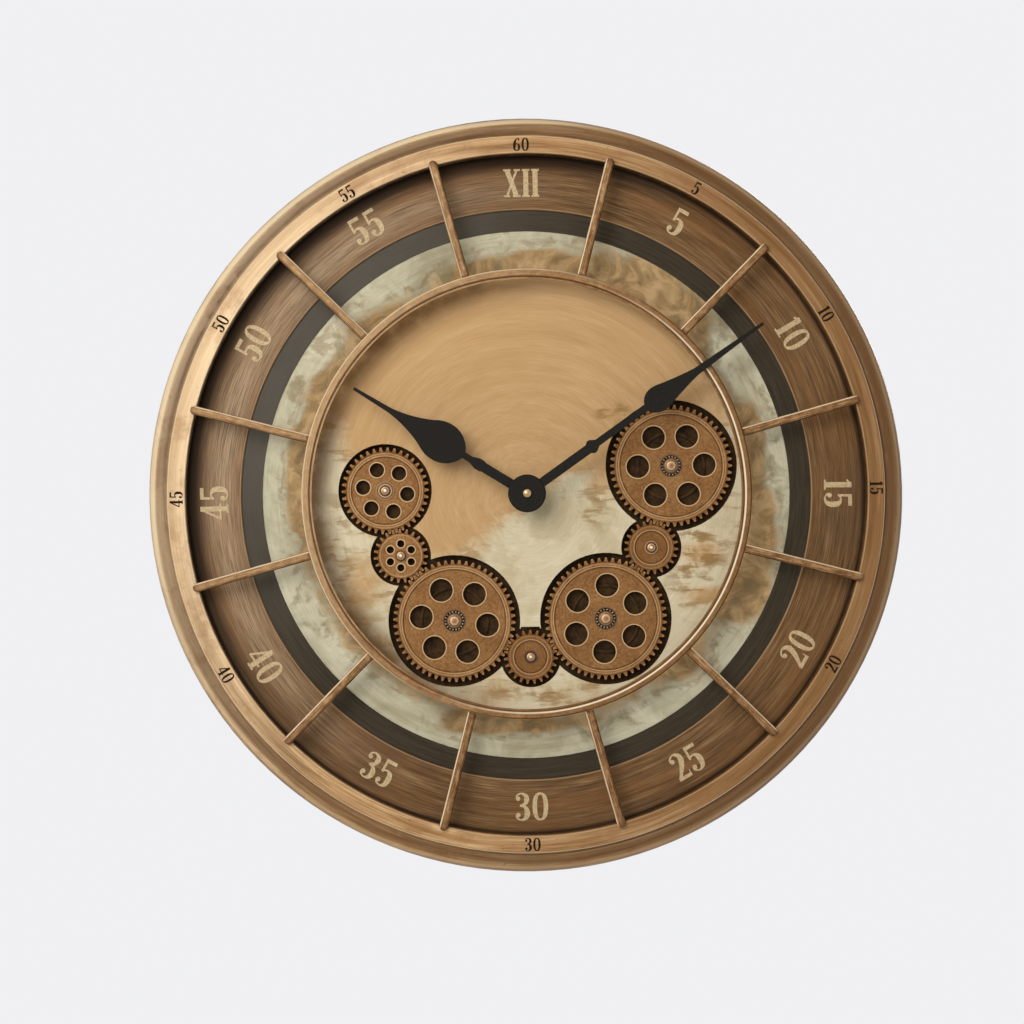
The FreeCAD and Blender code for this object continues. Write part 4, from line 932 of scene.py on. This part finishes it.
# A closed loop: the edges are an outer and an inner rounded oval.
def loop(x, y, outer, inner):
    turn, power = np.linspace(0, 2 * np.pi, drawing["loopStations"]), drawing["loopPower"]
    bulge = (np.abs(np.cos(turn)) ** power + np.abs(np.sin(turn)) ** power) ** (-1 / power)
    ways = np.stack([np.cos(turn), np.sin(turn)], axis=1) * bulge[:, None]
    return ways * outer + (x, y), ways * inner + (x, y)


# A thin bar at a figure's foot, or at its head.
def serif(left, right, head=False):
    half = drawing["serif"]
    level = 1 - half if head else half
    return "line", (left, level, half), (right, level, half)


# Each figure's width and its strokes.
figures = {
    "0": (0.56, [("loop", 0.28, 0.5, (0.28, 0.5), (0.115, 0.43))]),
    "1": (0.36, [
        ("line", (0.18, 0.0, 0.095), (0.18, 0.99, 0.095)),
        serif(0.0, 0.36),
        ("curve", (0.0, 0.82, 0.03), (0.07, 0.87, 0.04), (0.15, 0.955, 0.035)),
    ]),
    "2": (0.51, [
        ("curve", (0.03, 0.75, 0.02), (0.06, 0.88, 0.03), (0.22, 0.968, 0.032), (0.38, 0.88, 0.075),
         (0.415, 0.72, 0.098), (0.34, 0.5, 0.088), (0.19, 0.27, 0.065), (0.07, 0.11, 0.05),
         (0.04, 0.06, 0.04)),
        ("dot", 0.105, 0.76, 0.085),
        ("line", (0.0, 0.065, 0.065), (0.505, 0.065, 0.065)),
        ("line", (0.475, 0.08, 0.03), (0.492, 0.24, 0.014)),
    ]),
    "3": (0.52, [
        ("curve", (0.03, 0.79, 0.02), (0.07, 0.91, 0.03), (0.22, 0.97, 0.032), (0.37, 0.89, 0.072),
         (0.405, 0.76, 0.092), (0.35, 0.61, 0.062), (0.17, 0.53, 0.03)),
        ("curve", (0.17, 0.53, 0.03), (0.34, 0.49, 0.055), (0.42, 0.3, 0.1), (0.38, 0.12, 0.078),
         (0.22, 0.03, 0.032), (0.06, 0.1, 0.03), (0.025, 0.22, 0.02)),
        ("dot", 0.1, 0.79, 0.08),
        ("dot", 0.1, 0.2, 0.085),
    ]),
    "4": (0.57, [
        ("line", (0.385, 0.99, 0.042), (0.035, 0.29, 0.042)),
        ("line", (0.0, 0.285, 0.036), (0.57, 0.285, 0.036)),
        ("line", (0.385, 0.0, 0.09), (0.385, 1.0, 0.09)),
        serif(0.24, 0.53),
    ]),
    "5": (0.53, [
        ("line", (0.07, 0.935, 0.065), (0.485, 0.935, 0.065)),
        ("line", (0.115, 0.98, 0.045), (0.105, 0.5, 0.04)),
        ("curve", (0.075, 0.51, 0.03), (0.15, 0.58, 0.032), (0.27, 0.61, 0.038), (0.395, 0.52, 0.085),
         (0.43, 0.33, 0.1), (0.385, 0.12, 0.076), (0.23, 0.03, 0.032), (0.07, 0.1, 0.03),
         (0.03, 0.21, 0.02)),
        ("dot", 0.105, 0.2, 0.085),
    ]),
    "6": (0.54, [
        ("loop", 0.27, 0.29, (0.27, 0.29), (0.11, 0.225)),
        ("curve", (0.1, 0.3, 0.1), (0.11, 0.55, 0.095), (0.17, 0.77, 0.07), (0.28, 0.93, 0.038),
         (0.38, 0.965, 0.028), (0.46, 0.92, 0.02)),
        ("dot", 0.42, 0.86, 0.072),
    ]),
    "X": (0.61, [
        ("line", (0.125, 0.98, 0.085), (0.47, 0.02, 0.085)),
        ("line", (0.485, 0.98, 0.036), (0.12, 0.02, 0.036)),
        serif(0.0, 0.265, True),
        serif(0.375, 0.6, True),
        serif(0.01, 0.235),
        serif(0.335, 0.61),
    ]),
    "I": (0.28, [
        ("line", (0.14, 0.0, 0.09), (0.14, 1.0, 0.09)),
        serif(0.0, 0.28),
        serif(0.0, 0.28, True),
    ]),
}


# A smooth curve through stations, as cubic spans whose slopes come from the neighbours.
def smoothed(stations):
    rows = np.vstack([2 * stations[0] - stations[1], stations, 2 * stations[-1] - stations[-2]])
    share = np.linspace(0, 1, drawing["curveSteps"], endpoint=False)[None, :, None]
    a, b, c, d = (rows[k : len(rows) - 3 + k, None, :] for k in range(4))
    bend = 2 * a - 5 * b + 4 * c - d + share * (3 * (b - c) + d - a)
    spans = b + 0.5 * share * (c - a + share * bend)
    return np.vstack([spans.reshape(-1, stations.shape[1]), stations[-1]])


# Left and right edges of a stroke: its stations moved aside by the half width.
def strokeEdges(kind, facts):
    if kind == "loop":
        return loop(*facts)
    stations = dot(*facts) if kind == "dot" else np.array(facts, float)
    if kind == "curve":
        stations = smoothed(stations)
    ahead = np.gradient(stations[:, :2], axis=0)
    ahead /= np.linalg.norm(ahead, axis=1, keepdims=True)
    aside = np.stack([-ahead[:, 1], ahead[:, 0]], 1) * stations[:, 2:3]
    return stations[:, :2] + aside, stations[:, :2] - aside


# A closed slab between two edges: rows of four corners, back and front, round the stroke.
def slab(left, right, back, front):
    rows = len(left)
    corners = np.zeros((rows, 4, 3))
    corners[:, 0, :2], corners[:, 1, :2] = left, left
    corners[:, 2, :2], corners[:, 3, :2] = right, right
    corners[:, (0, 3), 2], corners[:, (1, 2), 2] = back, front
    first = np.arange(rows - 1)[:, None] * 4
    side = np.arange(4)[None, :]
    after = (side + 1) % 4
    quads = np.stack([first + side, first + after, first + 4 + after, first + 4 + side], 2)
    quads = quads.reshape(-1, 4)
    ends = np.array([[3, 2, 1, 0], [rows * 4 - 4, rows * 4 - 3, rows * 4 - 2, rows * 4 - 1]])
    closed = np.allclose(left[0], left[-1])
    return corners.reshape(-1, 3), quads if closed else np.vstack([quads, ends])


# The numerals' height, the radius that they stand on, the face under them and the gap between two
# figures, narrower beside an X. The first takes 12's place, some aren't there, some are read from
# the centre, and some stand off their place by a few degrees.
printing = {
    "dial": {
        "height": 0.0223,
        "reach": 0.2488,
        "surface": clock["dialFront"],
        "gap": 0.09,
        "finish": "numeralCream",
        "first": "XII",
        "missing": (),
        "inward": ("20", "25", "30", "35", "40"),
        "nudge": {"15": -0.8, "20": -0.5, "35": 0.8, "40": 2.1, "45": 0.7},
    },
    "rim": {
        "height": 0.0104,
        "reach": 0.2776,
        "surface": clock["caseFront"],
        "gap": 0.1,
        "finish": "numeralBrown",
        "first": "60",
        "missing": ("25", "35"),
        "inward": ("20", "30", "40"),
        "nudge": {},
    },
    "romanGap": 0.6,
    "sunk": 0.00002,
    "proud": 0.00010,
    "layer": 0.00001,
    "weld": 1e-7,
}


# One numeral: its figures side by side, centred, turned and set on the ring's front.
def printNumeral(name, text, look, angle):
    advance = [figures[letter][0] for letter in text]
    gap = look["gap"] * (printing["romanGap"] if text[0] == "X" else 1.0)
    cursor = -(sum(advance) + gap * (len(text) - 1)) / 2
    points, faces, count, layer = [], [], 0, 0
    for letter, width in zip(text, advance):
        for kind, *facts in figures[letter][1]:
            left, right = strokeEdges(kind, facts)
            front = (printing["proud"] + layer * printing["layer"]) / look["height"]
            corners, quads = slab(left, right, -printing["sunk"] / look["height"], front)
            corners[:, 0] += cursor
            corners[:, 1] -= 0.5
            points.append(corners * look["height"])
            faces.append(quads + count)
            count += len(corners)
            layer += 1
        cursor += width + gap
    points = np.vstack(points)
    turn = math.radians(angle + (90 if text in look["inward"] else -90))
    x = points[:, 0] * math.cos(turn) - points[:, 1] * math.sin(turn)
    z = points[:, 0] * math.sin(turn) + points[:, 1] * math.cos(turn)
    x += look["reach"] * math.cos(math.radians(angle))
    z += look["reach"] * math.sin(math.radians(angle)) + clock["axisHeight"]
    y = -look["surface"] - points[:, 2]
    mesh = bpy.data.meshes.new(name)
    mesh.from_pydata(np.stack([x, y, z], 1).tolist(), [], np.vstack(faces).tolist())
    addPiece(name, mesh, "clock_case", look["finish"])


# Links a mesh as a piece that rides on a body, with its faces turned outwards.
def addPiece(name, mesh, body, finish):
    shape = bmesh.new()
    shape.from_mesh(mesh)
    bmesh.ops.remove_doubles(shape, verts=shape.verts, dist=printing["weld"])
    bmesh.ops.recalc_face_normals(shape, faces=shape.faces)
    shape.to_mesh(mesh)
    shape.free()
    mesh.materials.append(finishes[finish])
    piece = bpy.data.objects.new(name, mesh)
    bpy.context.scene.collection.objects.link(piece)
    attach(piece, body)


for style in ("dial", "rim"):
    look = printing[style]
    for place in range(12):
        text = str(5 * place) if place else look["first"]
        angle = 90 - 30 * place + look["nudge"].get(text, 0)
        if text not in look["missing"]:
            printNumeral(f"{style}_numeral_{text}", text, look, angle)
print("numerals done")


# Plain pale floor, soft lamps, and the camera at the photograph's angle. Angles are in degrees;
# each lamp has its name, place, size and power.
stage = {
    "background": (0.871, 0.871, 0.888),
    "floorHeight": -1.3,
    "floorSize": 6.0,
    "floorMottle": 3.0,
    "floorTones": ((0.4, (0.78, 0.78, 0.79)), (0.6, (0.81, 0.81, 0.82))),
    "cameraSensor": 36,
    "cameraFov": 18.5,
    "cameraDistance": 2.5,
    "cameraElevation": -1.2,
    "cameraAzimuth": -0.9,
    "cameraRoll": -0.97,
    "target": (-0.0119, -0.045, -0.3012),
    "lampTarget": (0, -0.03, clock["axisHeight"]),
    "lamps": (
        ("keyLamp", (-1.25, -2.35, 0.75), 2.3, 58.0),
        ("sheenLamp", (-0.80, -1.5, 0.35), 0.7, 4.0),
        ("fillLamp", (1.5, -2.2, -0.6), 1.8, 4.0),
        ("rearLamp", (0.9, 2.3, 0.5), 1.8, 42.0),
    ),
    "worldLight": 0.24,
    "floorGlow": 0.8,
}


# 1 for rays that show the plain background: those of the camera, and those seen in metal and glass.
def showing(start):
    camera, _, _, glossy, _, _, through, *_ = start.node("LightPath", output=None)
    return start.maths("MAXIMUM", start.maths("MAXIMUM", camera, glossy), through)


def buildStage():
    world = bpy.data.worlds.new("studio")
    bpy.context.scene.world = world
    world.use_nodes = True
    tree = world.node_tree
    start = Wire(tree, None)
    light = start.node("Background", {}, {"Color": (1.0, 1.0, 1.0), "Strength": stage["worldLight"]})
    shown = start.node("Background", {}, {"Color": stage["background"], "Strength": 1.0})
    both = start.node("MixShader", {}, {0: showing(start), 1: light, 2: shown})
    tree.links.new(both.socket, tree.nodes["World Output"].inputs["Surface"])

    bpy.ops.mesh.primitive_plane_add(size=stage["floorSize"], location=(0, 0, stage["floorHeight"]))
    floor = bpy.context.object
    floor.name = "floor"
    paint = Finish("palePaint", {"sockets": {"Roughness": 0.8}})
    paint.set("Base Color", paint.noise(stage["floorMottle"]).colours(*stage["floorTones"]))
    glow = paint.start.node("Emission", {}, {"Color": stage["background"], "Strength": 1.0})
    body = Wire(paint.tree, paint.shader.outputs[0])
    seen = showing(paint.start) * stage["floorGlow"]
    both = paint.start.node("MixShader", {}, {0: seen, 1: body, 2: glow})
    paint.tree.links.new(both.socket, paint.tree.nodes["Material Output"].inputs["Surface"])
    floor.data.materials.append(paint.material)

    middle = Vector(stage["lampTarget"])
    for name, spot, size, power in stage["lamps"]:
        lamp = bpy.data.lights.new(name, "AREA")
        lamp.shape = "DISK"
        lamp.size = size
        lamp.energy = power
        holder = bpy.data.objects.new(name, lamp)
        holder.location = spot
        holder.rotation_euler = (middle - Vector(spot)).to_track_quat("-Z", "Y").to_euler()
        bpy.context.scene.collection.objects.link(holder)

    rise = math.radians(stage["cameraElevation"])
    turn = math.radians(stage["cameraAzimuth"])
    flat = math.cos(rise)
    back = Vector((math.sin(turn) * flat, -math.cos(turn) * flat, math.sin(rise)))
    lens = bpy.data.cameras.new("camera")
    lens.sensor_width = stage["cameraSensor"]
    lens.lens = stage["cameraSensor"] / 2 / math.tan(math.radians(stage["cameraFov"] / 2))
    camera = bpy.data.objects.new("camera", lens)
    look = (-back).to_track_quat("-Z", "Y").to_matrix().to_4x4()
    roll = Matrix.Rotation(math.radians(stage["cameraRoll"]), 4, "Z")
    spot = Vector(stage["target"]) + back * stage["cameraDistance"]
    camera.matrix_world = Matrix.Translation(spot) @ look @ roll
    bpy.context.scene.collection.objects.link(camera)
    bpy.context.scene.camera = camera
    bpy.context.scene.view_settings.view_transform = "Standard"


buildStage()
print("stage done")
